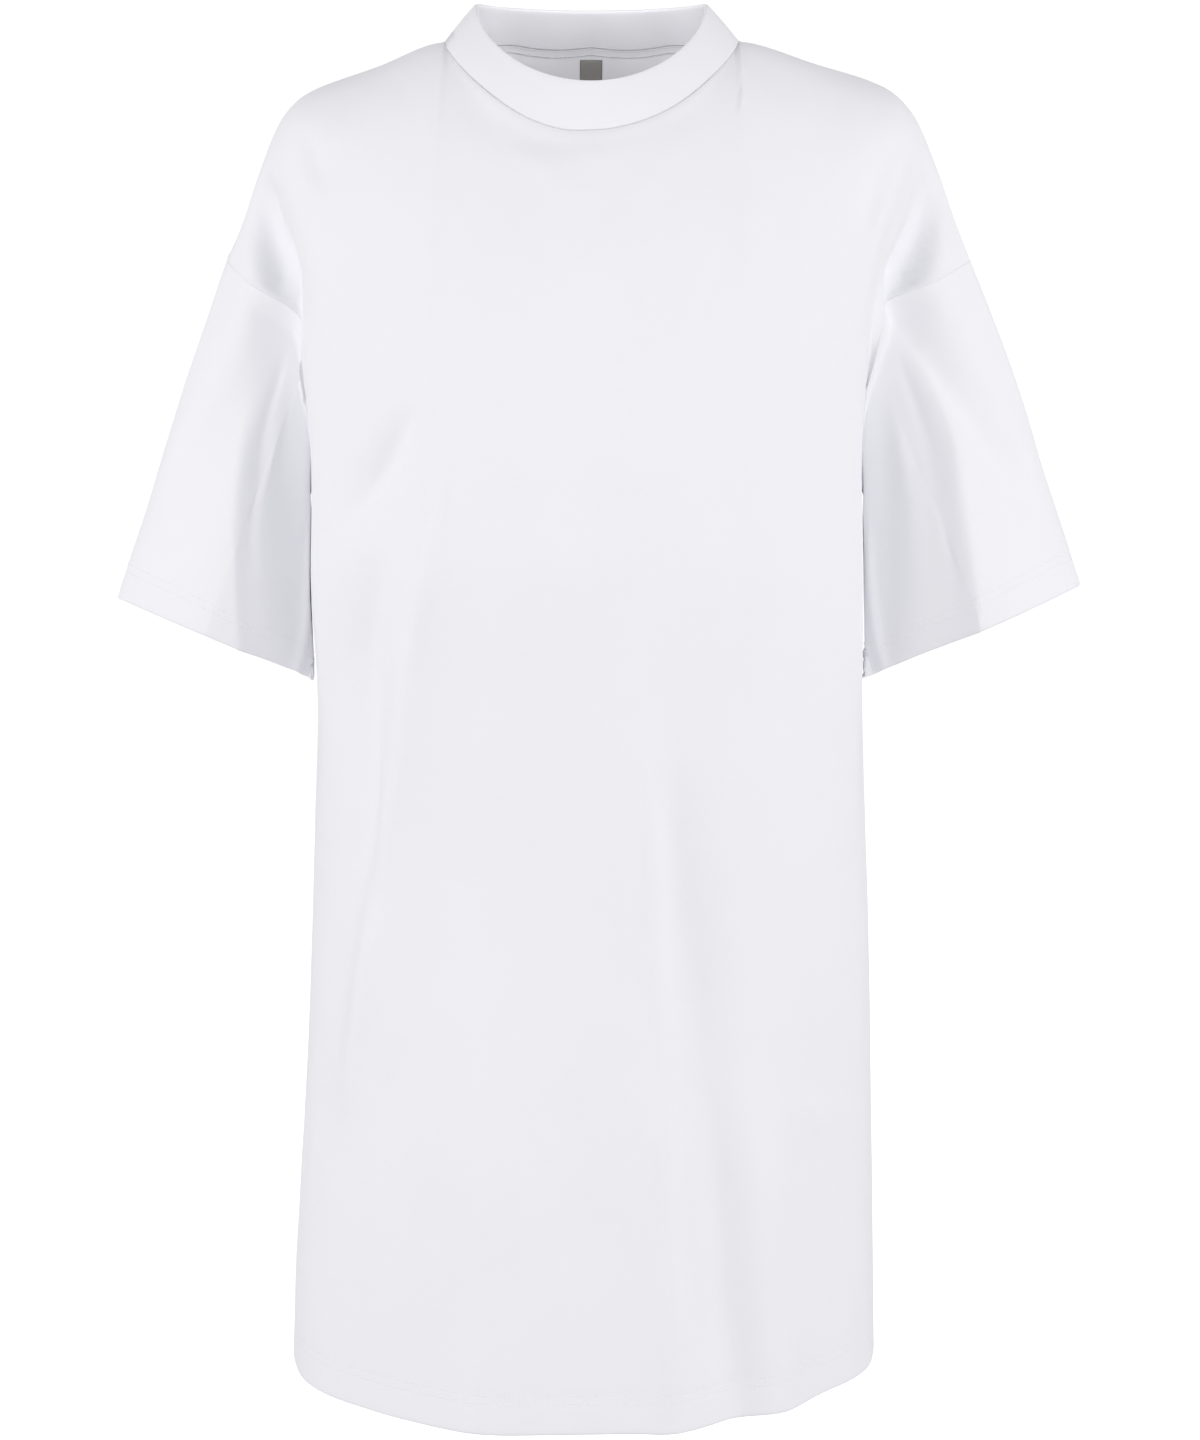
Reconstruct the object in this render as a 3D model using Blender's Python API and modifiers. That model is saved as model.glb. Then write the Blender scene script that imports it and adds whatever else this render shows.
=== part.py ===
"""Oversized white t-shirt dress with a mock neck, hollow and open at neck, cuffs and hem.

Six sewn pieces: front, back, two sleeves, collar and size label. Each is an open surface that lies on
the outer face of the cloth, given its wall by Solidify, and parted from its neighbours at the seams.
The origin is the middle of the neck opening at the height of the side neck points, where a wearer
carries the dress. +Z is up, the front faces -Y, and left and right are as seen from the front.
"""

import math
from typing import NamedTuple

import bmesh
import bpy
import numpy as np

# Cloth and sewing
PLY = 0.0013  # wall of one ply of heavy jersey
DOUBLE_PLY = 0.0024  # wall of a turned hem or of the folded collar band
SEAM_GAP = 0.0006  # what each piece leaves free at a seam
ARMHOLE_GAP = 0.0014  # what a sleeve leaves free at the armhole, where it turns back under the body's edge
HEM_DEPTH = 0.024  # height of the turned hem of the body
CUFF_DEPTH = 0.021  # height of the turned hem of a sleeve
HEM_STEP = 0.001  # height over which the wall grows to a turned hem

# Neck seam, an ellipse seen from above
NECK_HALF_WIDTH = 0.0955
NECK_FRONT = 0.075
NECK_BACK = 0.083
NECK_SWAY = 0.0012

# Rim of the collar, an ellipse seen from above that stands higher at the back
RIM_HALF_WIDTH = 0.0750
RIM_FRONT = 0.0625
RIM_BACK = 0.0575
RIM_SWAY = 0.0010
RIM_SIDE_Z = 0.0245
RIM_FRONT_Z = -0.0335
RIM_BACK_Z = 0.0305
RIM_FRONT_DIP = 1.15  # how sharply the rim leaves its sides for its front, less than 1 being sharper
RIM_BACK_DIP = 0.6
COLLAR_BULGE = 0.0006

# Size label, on the inner face of the back
LABEL_HALF_WIDTH = 0.0077
LABEL_DROP = 0.012  # from the neck seam to its top
LABEL_HEIGHT = 0.020
LABEL_WALL = 0.001
LABEL_GAP = 0.0005  # between the label and the inner face

# Mesh density
COLUMNS = 36  # across a panel
NECK_COLUMNS = 14  # of them, those that start at the neck
YOKE_ROWS = 13  # shoulder to underarm
BODY_ROWS = 20  # underarm to hem line
SLEEVE_ROWS = 11
COLLAR_ROWS = 3

# Side neck point, as a share of the way across half a panel
SIDE_NECK = NECK_COLUMNS / COLUMNS


class Ring(NamedTuple):
    """One level section of the body, from underarm to hem."""

    z: float
    half_width: float
    front: float  # reach of the centre front
    back: float
    front_square: float  # exponent of the superellipse, 2 for an ellipse
    back_square: float
    side_y: float  # where the section is widest, and the side seam crosses it
    sway: float  # sideways drift of the section


RINGS = (
    Ring(-0.290, 0.1800, 0.146, 0.122, 2.35, 2.10, -0.006, -0.0020),
    Ring(-0.350, 0.1815, 0.150, 0.118, 2.30, 2.10, -0.003, -0.0018),
    Ring(-0.415, 0.1808, 0.150, 0.115, 2.20, 2.10, 0.000, -0.0004),
    Ring(-0.520, 0.1845, 0.151, 0.122, 2.10, 2.10, 0.003, -0.0002),
    Ring(-0.630, 0.1888, 0.155, 0.132, 2.05, 2.10, 0.004, -0.0008),
    Ring(-0.740, 0.1932, 0.160, 0.140, 2.05, 2.05, 0.003, -0.0018),
    Ring(-0.873, 0.1972, 0.165, 0.146, 2.05, 2.00, 0.000, -0.0028),
)


class Station(NamedTuple):
    """One place across the shoulder, where an arch starts forward and back down to the underarm ring."""

    across: float  # share of the way from centre to armhole
    x: float
    y: float
    front_z: float
    back_z: float
    lean: float  # how far the cloth drops forward, and rises backward, for each metre
    front_reach: float  # speed at which a front arch leaves forward
    front_in: float  # and inward
    front_fall: float  # speed at which it arrives downward
    front_turn: float  # and sideways, round the body
    back_reach: float
    back_in: float
    back_fall: float
    back_turn: float
    drift: float  # speed at which both leave towards the left
    sway: float  # sideways drift of the shoulder
    tilt: float  # how much higher the right shoulder is than the mean


STATIONS = (
    Station(
        0.000, 0.0000, 0.000, 0.0012, 0.0335,
        0.10, 0.22, 0, 0.30, 0, 0.50, 0, 0.30, 0, 0,
        0.0012, 0.0000,
    ),
    Station(
        0.200, 0.0494, 0.000, -0.0045, 0.0280,
        0.20, 0.24, 0, 0.30, 0, 0.41, 0, 0.30, 0, 0,
        0.0013, 0.0001,
    ),
    Station(
        0.389, 0.0960, 0.000, 0.0000, 0.0000,
        0.30, 0.25, 0, 0.30, 0, 0.30, 0, 0.30, 0, 0,
        0.0014, 0.0002,
    ),
    Station(
        0.520, 0.1425, 0.003, -0.0145, -0.0145,
        0.15, 0.27, 0, 0.30, 0, 0.28, 0, 0.30, 0, 0,
        0.0040, 0.0010,
    ),
    Station(
        0.658, 0.1893, 0.006, -0.0310, -0.0310,
        0.08, 0.29, 0, 0.30, 0, 0.28, 0, 0.30, 0, 0,
        0.0045, 0.0018,
    ),
    Station(
        0.728, 0.2080, 0.010, -0.0487, -0.0487,
        0.05, 0.28, 0.02, 0.30, 0.03, 0.28, 0, 0.30, 0.03, 0,
        0.0052, 0.0015,
    ),
    Station(
        0.821, 0.2225, 0.013, -0.0790, -0.0790,
        0.04, 0.22, 0.06, 0.29, 0.05, 0.25, 0, 0.30, 0.05, 0.02,
        0.0056, 0.0010,
    ),
    Station(
        0.926, 0.2360, 0.017, -0.1150, -0.1150,
        0.20, 0.25, 0.14, 0.27, 0.08, 0.23, 0, 0.28, 0.09, 0.03,
        0.0060, 0.0008,
    ),
    Station(
        1.000, 0.2465, 0.020, -0.1400, -0.1400,
        0.46, 0.31, 0.20, 0.23, 0.10, 0.23, 0, 0.25, 0.12, 0.04,
        0.0062, 0.0006,
    ),
)


class Cuff(NamedTuple):
    """The open end of one sleeve."""

    name: str
    side: int  # -1 at -X, 1 at +X
    outer_x: float
    outer_z: float
    inner_x: float
    inner_z: float
    outer_y: float
    inner_y: float
    front: float  # reach in front of the line from its outer to its inner end
    back: float
    lift: float  # how much higher the front edge hangs than the middle
    bow: float  # how far the sleeve swells out halfway down


CUFFS = (
    Cuff("sleeve_left", -1, 0.3180, -0.3635, 0.1825, -0.4145, 0.026, -0.032, 0.039, 0.093, 0.0040, 0.0025),
    Cuff("sleeve_right", 1, 0.3300, -0.3545, 0.1815, -0.4140, 0.026, -0.032, 0.039, 0.093, 0.0025, 0.0035),
)
CUFF_INNER_SQUARE = 1.25  # exponent of the cuff's section beside the body, 2 being round
UNDERARM_LEAVE = (0.030, -0.020, -0.020)  # speed at which the sleeve leaves the underarm
UNDERARM_SPAN = 0.6  # how far round the armhole that reaches, in radians
SLEEVE_CLEARANCE = 0.0012  # between the body's side and a sleeve that hangs against it


class Fold(NamedTuple):
    """One soft ridge or trough of a panel, along a path seen from its own side."""

    side: int  # -1 on the front, 1 on the back
    path: tuple  # (x, z) from its start to its end
    rise: float  # height of a ridge, negative for a trough
    spread: float  # distance at which it has sunk to about a third
    runs_out: bool  # whether it still has its full height at the last point
    end: float  # length over which an end sinks away


FOLDS = (
    # Recesses between chest and sleeve caps, each a deep trough and a broad one that part from one apex
    Fold(
        -1,
        ((-0.215, -0.080), (-0.214, -0.110), (-0.206, -0.170), (-0.200, -0.205)),
        -0.019,
        0.0095,
        True,
        0.034,
    ),
    Fold(
        -1,
        ((-0.213, -0.080), (-0.206, -0.120), (-0.192, -0.170), (-0.186, -0.215)),
        -0.011,
        0.015,
        False,
        0.050,
    ),
    Fold(
        -1,
        ((0.2265, -0.076), (0.2235, -0.105), (0.212, -0.165), (0.206, -0.205)),
        -0.019,
        0.0095,
        True,
        0.034,
    ),
    Fold(
        -1,
        ((0.2245, -0.076), (0.212, -0.120), (0.195, -0.170), (0.188, -0.215)),
        -0.011,
        0.015,
        False,
        0.050,
    ),
    # The shallow hollow below the collar
    Fold(-1, ((-0.012, -0.020), (0.004, -0.085)), -0.006, 0.042, False, 0.030),
    # Hollows on the shoulder caps
    Fold(-1, ((-0.184, -0.052), (-0.174, -0.083), (-0.166, -0.115)), -0.004, 0.012, False, 0.045),
    Fold(
        -1,
        ((0.200, -0.060), (0.187, -0.087), (0.176, -0.120), (0.172, -0.145)),
        -0.005,
        0.012,
        False,
        0.045,
    ),
    # Drag trough from the left underarm, the long ridge below it and the broad trough beside that
    Fold(-1, ((-0.098, -0.225), (-0.128, -0.278), (-0.168, -0.330)), -0.006, 0.014, False, 0.060),
    Fold(
        -1,
        ((-0.094, -0.245), (-0.090, -0.300), (-0.104, -0.395), (-0.117, -0.480), (-0.141, -0.600), (-0.168, -0.720)),
        0.007,
        0.019,
        False,
        0.110,
    ),
    Fold(
        -1,
        ((-0.136, -0.290), (-0.146, -0.400), (-0.150, -0.500), (-0.166, -0.640), (-0.178, -0.760)),
        -0.009,
        0.022,
        False,
        0.130,
    ),
    # Long ridge right of the centre, and the broad troughs beside it down to the hem
    Fold(
        -1,
        ((0.030, -0.330), (0.034, -0.430), (0.040, -0.560), (0.045, -0.750), (0.050, -0.873)),
        0.006,
        0.017,
        True,
        0.200,
    ),
    Fold(
        -1,
        ((0.046, -0.390), (0.062, -0.560), (0.080, -0.700), (0.086, -0.780), (0.100, -0.873)),
        -0.009,
        0.022,
        True,
        0.220,
    ),
    Fold(
        -1,
        ((0.120, -0.560), (0.146, -0.680), (0.156, -0.790), (0.160, -0.873)),
        -0.010,
        0.028,
        True,
        0.200,
    ),
    # Swell of the left half of the hem
    Fold(-1, ((-0.060, -0.520), (-0.066, -0.700), (-0.070, -0.873)), 0.008, 0.04, True, 0.220),
    Fold(-1, ((-0.176, -0.740), (-0.180, -0.800), (-0.183, -0.873)), 0.003, 0.02, True, 0.090),
    # The back: one long hollow over the spine, drag from both underarms, and hem waves
    Fold(1, ((0.010, -0.080), (0.004, -0.240), (-0.004, -0.420)), -0.004, 0.03, False, 0.120),
    Fold(1, ((-0.100, -0.200), (-0.130, -0.260), (-0.166, -0.320)), -0.005, 0.016, False, 0.060),
    Fold(1, ((0.096, -0.190), (0.132, -0.262), (0.168, -0.335)), -0.005, 0.016, False, 0.060),
    Fold(
        1,
        ((-0.070, -0.320), (-0.078, -0.520), (-0.070, -0.700), (-0.078, -0.873)),
        0.008,
        0.026,
        True,
        0.200,
    ),
    Fold(1, ((0.000, -0.440), (0.008, -0.660), (0.014, -0.873)), -0.008, 0.028, True, 0.240),
    Fold(1, ((0.092, -0.360), (0.086, -0.600), (0.098, -0.873)), 0.008, 0.026, True, 0.200),
    Fold(1, ((0.154, -0.480), (0.158, -0.700), (0.162, -0.873)), -0.006, 0.018, True, 0.180),
    Fold(1, ((-0.142, -0.420), (-0.150, -0.680), (-0.152, -0.873)), -0.006, 0.02, True, 0.200),
)
FOLD_FADE = 0.030  # distance from the side seam over which folds sink away
SEAM_Y = 0.014  # where shoulder and side seams lie, front to back


class SleeveFold(NamedTuple):
    """One straight ridge or trough of a sleeve."""

    side: int
    start_turn: float  # degrees round the sleeve from its outer line, over the front
    end_turn: float
    start_share: float  # share of the way down the sleeve
    end_share: float  # past 1 where it runs out over the hem
    rise: float
    spread: float  # degrees at which it has sunk to about a third
    whole: bool  # whether it runs the full length, with no ends of its own


SLEEVE_FOLDS = (
    # The crest from the shoulder cap down to the cuff, the hollow along its inner side, and one at the back
    SleeveFold(-1, 18, 103, 0.00, 1.00, 0.010, 20, True),
    SleeveFold(-1, 50, 128, 0.00, 1.00, -0.009, 19, True),
    SleeveFold(-1, 235, 250, 0.10, 1.40, -0.006, 18, False),
    SleeveFold(1, 22, 99, 0.00, 1.00, 0.010, 20, True),
    SleeveFold(1, 54, 125, 0.00, 1.00, -0.009, 19, True),
    SleeveFold(1, 230, 244, 0.10, 1.40, -0.006, 18, False),
)
SLEEVE_FADE = 0.15  # share of the sleeve over which folds rise from the armhole

# The direction in which folds rise: away from an oval that stands for the body, and up over the shoulders
OVAL_WIDTH_LOW = 0.19
OVAL_WIDTH_HIGH = 0.40
OVAL_WIDENING = 0.14  # height above the underarm over which it widens
OVAL_DEPTH = 0.16
SHOULDER_START = -0.15  # height above which directions turn up
HALF_GIRTH = 0.26  # of a panel, from its centre to its seam

WHITE_JERSEY = (0.88, 0.88, 0.90)
GREY_TAPE = (0.22, 0.21, 0.20)


def between(knots, values, at, level_start=False):
    """Values at places between a table's rows, on a smooth curve that doesn't overshoot them."""
    knots, values, at = (np.asarray(a, float) for a in (knots, values, at))
    step = np.diff(knots)
    slope = np.diff(values) / step
    bend = np.zeros(len(knots))
    same = slope[:-1] * slope[1:] > 0
    mean = 2 * slope[:-1] * slope[1:] / np.where(same, slope[:-1] + slope[1:], 1)
    bend[1:-1] = np.where(same, mean, 0)
    bend[0] = 0 if level_start else slope[0]
    bend[-1] = slope[-1]
    k = np.clip(np.searchsorted(knots, at) - 1, 0, len(step) - 1)
    t = (at - knots[k]) / step[k]
    start = (2 * t**3 - 3 * t**2 + 1) * values[k] + (t**3 - 2 * t**2 + t) * step[k] * bend[k]
    end = (3 * t**2 - 2 * t**3) * values[k + 1] + (t**3 - t**2) * step[k] * bend[k + 1]
    return start + end


def ring_column(name, z):
    """One named size of the body's rings at a height."""
    rows = RINGS[::-1]
    return between([r.z for r in rows], [getattr(r, name) for r in rows], z)


def station_column(name, across):
    """One named size of the shoulder stations at a share of the way across, the same on both sides."""
    return between(
        [s.across for s in STATIONS], [getattr(s, name) for s in STATIONS], np.abs(across), level_start=True
    )


def hermite(start, leave, end, arrive, t):
    """Points at shares t of a cubic arch, given its ends and the speeds at which it leaves and arrives."""
    t = np.asarray(t)[..., None]
    rising = 3 * t**2 - 2 * t**3
    return (1 - rising) * start + (t**3 - 2 * t**2 + t) * leave + rising * end + (t**3 - t**2) * arrive


def smooth(share):
    """A smooth step from 0 to 1."""
    share = np.clip(share, 0, 1)
    return share * share * (3 - 2 * share)


def unit(vectors):
    """Vectors of length one, in the same directions."""
    return vectors / np.linalg.norm(vectors, axis=-1, keepdims=True)


def which(side):
    """The word that starts the names of a side's columns."""
    return "front" if side < 0 else "back"


def section(side, z, across):
    """Points of the front's or back's level section at a height, at shares across from -1 to 1."""
    turn = np.linspace(0, math.pi / 2, 361)
    power = 2 / float(ring_column(which(side) + "_square", z))
    width, side_y, reach = (float(ring_column(n, z)) for n in ("half_width", "side_y", which(side)))
    half_x = width * np.sin(turn) ** power
    half_y = side_y + (side * reach - side_y) * np.cos(turn) ** power
    along = np.concatenate([[0], np.cumsum(np.hypot(np.diff(half_x), np.diff(half_y)))])
    at = np.abs(across) * along[-1]
    x = np.interp(at, along, half_x) * np.sign(across) + float(ring_column("sway", z))
    return np.stack([x, np.interp(at, along, half_y), np.full(len(x), z)], axis=1)


def arch(side, across, t):
    """Points of the yoke at shares t of each arch from shoulder to underarm ring."""
    under, step, nudge = RINGS[0].z, 0.004, 0.002
    hand = np.where(across < 0, -1.0, 1.0)
    ring = section(side, under, across)
    fall = unit(section(side, under - step, across) - ring)
    inner = np.clip(np.abs(across) - nudge, 0, 1) * hand
    outer = inner + nudge * hand
    swing = unit(section(side, under, outer) - section(side, under, inner))

    def column(name):
        return station_column(name, across)

    shoulder_x = column("x") * hand + column("sway")
    shoulder_z = column(which(side) + "_z") + column("tilt") * hand
    start = np.stack([shoulder_x, column("y"), shoulder_z], axis=1)
    reach = column(which(side) + "_reach")
    drawn_in = -hand * column(which(side) + "_in") - column("drift")
    leave = np.stack([drawn_in, side * reach, side * reach * column("lean")], axis=1)
    arrive = column(which(side) + "_fall")[:, None] * fall + column(which(side) + "_turn")[:, None] * swing
    return hermite(start, leave, ring, arrive, t)


def neck_share(side, across):
    """The share of each arch at which it leaves the neck hole, zero beyond the side neck points."""
    reach = NECK_FRONT if side < 0 else NECK_BACK
    low, high = np.zeros(len(across)), np.full(len(across), 0.9)
    for _ in range(30):
        mid = (low + high) / 2
        p = arch(side, across, mid)
        inside = ((p[:, 0] - NECK_SWAY) / NECK_HALF_WIDTH) ** 2 + (p[:, 1] / reach) ** 2 < 1
        low, high = np.where(inside, mid, low), np.where(inside, high, mid)
    return np.where(np.abs(across) < SIDE_NECK - 1e-6, high, 0)


def outward(points):
    """Directions away from the middle of the body, turning up over the shoulders."""
    x, y, z = (points[..., k] for k in range(3))
    width = OVAL_WIDTH_LOW + (OVAL_WIDTH_HIGH - OVAL_WIDTH_LOW) * smooth((z - RINGS[0].z) / OVAL_WIDENING)
    up = np.clip(z - SHOULDER_START, 0, None)
    return unit(np.stack([x / width**2, y / OVAL_DEPTH**2, up / OVAL_DEPTH**2], axis=-1))


def path_distance(points, path):
    """Distance of points from a path, and how far along it the nearest place is, with its length."""
    best = np.full(points.shape[:-1], np.inf)
    along = np.zeros(points.shape[:-1])
    length = 0.0
    for start, end in zip(path[:-1], path[1:]):
        start, run = np.array(start), np.array(end) - np.array(start)
        step = float(np.linalg.norm(run))
        share = np.clip(((points - start) @ run) / step**2, 0, 1)
        away = np.linalg.norm(points - start - share[..., None] * run, axis=-1)
        along = np.where(away < best, length + share * step, along)
        best = np.minimum(best, away)
        length += step
    return best, along, length


def folded(points):
    """Points of the body moved by the folds of the front or the back, and not at the seams between them."""
    plan = points[..., [0, 2]]
    height = np.zeros(points.shape[:-1])
    for fold in FOLDS:
        away, along, length = path_distance(plan, fold.path)
        fade = smooth(fold.side * (points[..., 1] - SEAM_Y) / FOLD_FADE) * smooth(along / fold.end)
        if not fold.runs_out:
            fade = fade * smooth((length - along) / fold.end)
        height += fold.rise * fade * np.exp(-((away / fold.spread) ** 2))
    return points + height[..., None] * outward(points)


def across_shares():
    """Shares across a panel from seam to seam, with a column on each side neck point."""
    return np.linspace(-1, 1, COLUMNS + 1)


def panel_points(side):
    """The outer face of a body panel as rows of points, from the shoulders to the hem."""
    across = across_shares()
    across[[0, -1]] *= 1 - SEAM_GAP / HALF_GIRTH
    seam = SEAM_GAP / station_column(which(side) + "_reach", across)
    first = neck_share(side, across) + seam
    top = [arch(side, across, first + (1 - first) * s) for s in np.linspace(0, 1, YOKE_ROWS + 1)]
    hem = RINGS[-1].z
    heights = np.linspace(RINGS[0].z, hem + HEM_DEPTH + HEM_STEP, BODY_ROWS + 1)[1:]
    below = [section(side, z, across) for z in (*heights, hem + HEM_DEPTH, hem)]
    return folded(np.stack(top + below))


def armhole(hand):
    """An armhole as a loop of points from the shoulder tip down the front and up the back."""
    shares = np.linspace(0, 1, YOKE_ROWS + 1)
    tip = np.full(1, float(hand))
    front = np.concatenate([arch(-1, tip, s) for s in shares])
    back = np.concatenate([arch(1, tip, s) for s in shares])
    return folded(np.concatenate([front, back[-2::-1]]))


def body_side(hand, points):
    """How far the body's side reaches out at the depths and heights of points, under the arms."""
    z = np.clip(points[..., 2], RINGS[-1].z, RINGS[0].z)
    forward = points[..., 1] < ring_column("side_y", z)
    reach = np.where(forward, -ring_column("front", z), ring_column("back", z)) - ring_column("side_y", z)
    power = np.where(forward, ring_column("front_square", z), ring_column("back_square", z))
    share = np.clip((points[..., 1] - ring_column("side_y", z)) / reach, 0, 1)
    return ring_column("half_width", z) * (1 - share**power) ** (1 / power) + hand * ring_column("sway", z)


def grid_normals(rows):
    """Directions square to a closed tube of points, out of it."""
    down = np.gradient(rows, axis=0)
    around = np.roll(rows[:, :-1], -1, axis=1) - np.roll(rows[:, :-1], 1, axis=1)
    around = np.concatenate([around, around[:, :1]], axis=1)
    return unit(np.cross(around, down))


def sleeve_points(cuff):
    """The outer face of a sleeve as rows of points from armhole to cuff, each row a closed loop."""
    mirror = [cuff.side, 1, 1]
    start = armhole(cuff.side) * mirror
    turn = np.linspace(0, 2 * math.pi, len(start))
    outer, inner = np.array([cuff.outer_x, cuff.outer_z]), np.array([cuff.inner_x, cuff.inner_z])
    middle, half = (outer + inner) / 2, (outer - inner) / 2
    tuck = np.where(np.cos(turn) < 0, 2 / CUFF_INNER_SQUARE, 1.0)
    across = np.sign(np.cos(turn)) * np.abs(np.cos(turn)) ** tuck
    front = np.sign(np.sin(turn)) * np.abs(np.sin(turn)) ** tuck
    line_y = cuff.inner_y + (cuff.outer_y - cuff.inner_y) * (1 + across) / 2
    end = np.stack(
        [
            middle[0] + half[0] * across,
            line_y - front * np.where(front > 0, cuff.front, cuff.back),
            middle[1] + half[1] * across + cuff.lift * front,
        ],
        axis=1,
    )
    down = np.array([half[1], 0, -half[0]]) / np.linalg.norm(half)
    length = np.linalg.norm(end - start, axis=1)[:, None]
    under = np.exp(-(((turn - math.pi) / UNDERARM_SPAN) ** 2))[:, None]
    leave = (end - start) * (1 - under) + under * np.array(UNDERARM_LEAVE)
    hem_share = 1 - CUFF_DEPTH / length.mean()
    step_share = HEM_STEP / length.mean()
    shares = np.linspace(0, hem_share - step_share, SLEEVE_ROWS + 1)
    shares[0] = ARMHOLE_GAP / length.mean()
    shares = np.concatenate([shares, [hem_share, 1]])
    rows = np.stack([hermite(start, leave, end, down * length, np.full(len(start), s)) for s in shares])
    rows[..., 0] += cuff.bow * np.outer(np.sin(math.pi * shares), np.cos(turn / 2) ** 4)
    height = np.zeros(rows.shape[:2])
    for fold in SLEEVE_FOLDS:
        run = (shares[:, None] - fold.start_share) / (fold.end_share - fold.start_share)
        centre = np.radians(fold.start_turn + (fold.end_turn - fold.start_turn) * run)
        away = (turn - centre + math.pi) % (2 * math.pi) - math.pi
        profile = np.exp(-((away / math.radians(fold.spread)) ** 2))
        ends = smooth((1.15 - run) * 4) if fold.whole else smooth(run * 4) * smooth((1 - run) * 4)
        fade = smooth(shares[:, None] / SLEEVE_FADE) * ends
        height += fold.rise * fade * profile * (fold.side == cuff.side)
    rows += height[..., None] * grid_normals(rows)
    below = smooth((RINGS[0].z - rows[..., 2]) / SLEEVE_CLEARANCE)
    rows[..., 0] = np.maximum(rows[..., 0], below * (body_side(cuff.side, rows) + SLEEVE_CLEARANCE))
    return rows * mirror


def neck_loop():
    """The neck seam as a closed loop of points, from the left side neck point along the front and back."""
    across = across_shares()
    neck = across[np.abs(across) <= SIDE_NECK + 1e-6]
    front = arch(-1, neck, neck_share(-1, neck))
    back = arch(1, neck, neck_share(1, neck))
    return folded(np.concatenate([front, back[-2::-1]]))


def collar_points():
    """The outer face of the collar band as rows of points from the rim to the neck seam."""
    base = neck_loop()
    reach = np.where(base[:, 1] < 0, NECK_FRONT, NECK_BACK)
    turn = np.arctan2(base[:, 1] / reach, (base[:, 0] - NECK_SWAY) / NECK_HALF_WIDTH)
    front = turn < 0
    height = np.where(front, RIM_FRONT_Z, RIM_BACK_Z) - RIM_SIDE_Z
    dip = np.where(front, RIM_FRONT_DIP, RIM_BACK_DIP)
    rim = np.stack(
        [
            RIM_SWAY + RIM_HALF_WIDTH * np.cos(turn),
            np.sin(turn) * np.where(front, RIM_FRONT, RIM_BACK),
            RIM_SIDE_Z + height * np.abs(np.sin(turn)) ** dip,
        ],
        axis=1,
    )
    shares = np.linspace(1, 0, COLLAR_ROWS + 1)
    shares[-1] = SEAM_GAP / np.linalg.norm(rim - base, axis=1).mean()
    outward_flat = np.stack([np.cos(turn), np.sin(turn), 0 * turn], axis=1)
    return np.stack(
        [base + (rim - base) * s + outward_flat * COLLAR_BULGE * math.sin(math.pi * s) for s in shares]
    )


def on_grid(rows, row, column):
    """The point of a panel's faces at a place between its rows and columns."""
    r, c = int(row), int(column)
    u, v = row - r, column - c
    top = rows[r, c] * (1 - v) + rows[r, c + 1] * v
    low = rows[r + 1, c] * (1 - v) + rows[r + 1, c + 1] * v
    return top * (1 - u) + low * u


def label_points():
    """The face of the size label that looks into the neck, from its top edge down."""
    back = panel_points(1)
    centre = COLUMNS // 2
    column_step = np.linalg.norm(back[1, centre + 1] - back[1, centre])
    row_step = np.linalg.norm(back[1, centre] - back[0, centre])
    spread = LABEL_HALF_WIDTH / column_step
    places = [LABEL_DROP / row_step, 1.0, (LABEL_DROP + LABEL_HEIGHT) / row_step]
    rows = []
    for place in places:
        row = np.stack([on_grid(back, place, centre + c) for c in (-spread, 0, spread)])
        down = unit(on_grid(back, place + 0.1, centre) - on_grid(back, place - 0.1, centre))
        inward = unit(np.cross(down, row[2] - row[0]))
        rows.append(row + inward * (PLY + LABEL_GAP + LABEL_WALL))
    return np.stack(rows)


def cloth_object(name, rows, collection, finish, plies, closed=False):
    """A named piece of cloth on a grid of points, its wall inward of them.

    The rows run from the top edge down, and each from left to right as seen from outside. plies gives
    the wall at each row. A closed piece's last column lies on its first, and joins it there.
    """
    count, across = rows.shape[0] - 1, rows.shape[1] - 1
    shape = bmesh.new()
    bmesh.ops.create_grid(shape, x_segments=across, y_segments=count, size=0.5)
    layer = shape.verts.layers.deform.verify()
    for vert in shape.verts:
        column = round((vert.co.x + 0.5) * across)
        row = round((0.5 - vert.co.y) * count)
        vert.co = rows[row, column]
        vert[layer][0] = plies[row] / DOUBLE_PLY
    if closed:
        bmesh.ops.remove_doubles(shape, verts=shape.verts, dist=0.00001)
    bmesh.ops.triangulate(shape, faces=shape.faces)
    mesh = bpy.data.meshes.new(name)
    shape.to_mesh(mesh)
    shape.free()
    mesh.materials.append(finish)
    mesh.shade_smooth()
    obj = bpy.data.objects.new(name, mesh)
    collection.objects.link(obj)
    obj.vertex_groups.new(name="plies")
    wall = obj.modifiers.new("wall", "SOLIDIFY")
    wall.thickness = DOUBLE_PLY
    wall.offset = -1
    wall.vertex_group = "plies"
    return obj


def cloth_finish(name, colour, roughness):
    """A plain woven or knitted finish."""
    material = bpy.data.materials.new(name)
    material.use_nodes = True
    surface = material.node_tree.nodes["Principled BSDF"]
    surface.inputs["Base Color"].default_value = (*colour, 1)
    surface.inputs["Roughness"].default_value = roughness
    surface.inputs["Metallic"].default_value = 0
    return material


def hemmed(rows):
    """The wall at each row of a piece whose last two rows are its turned hem."""
    return [PLY] * (len(rows) - 2) + [DOUBLE_PLY] * 2


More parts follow.
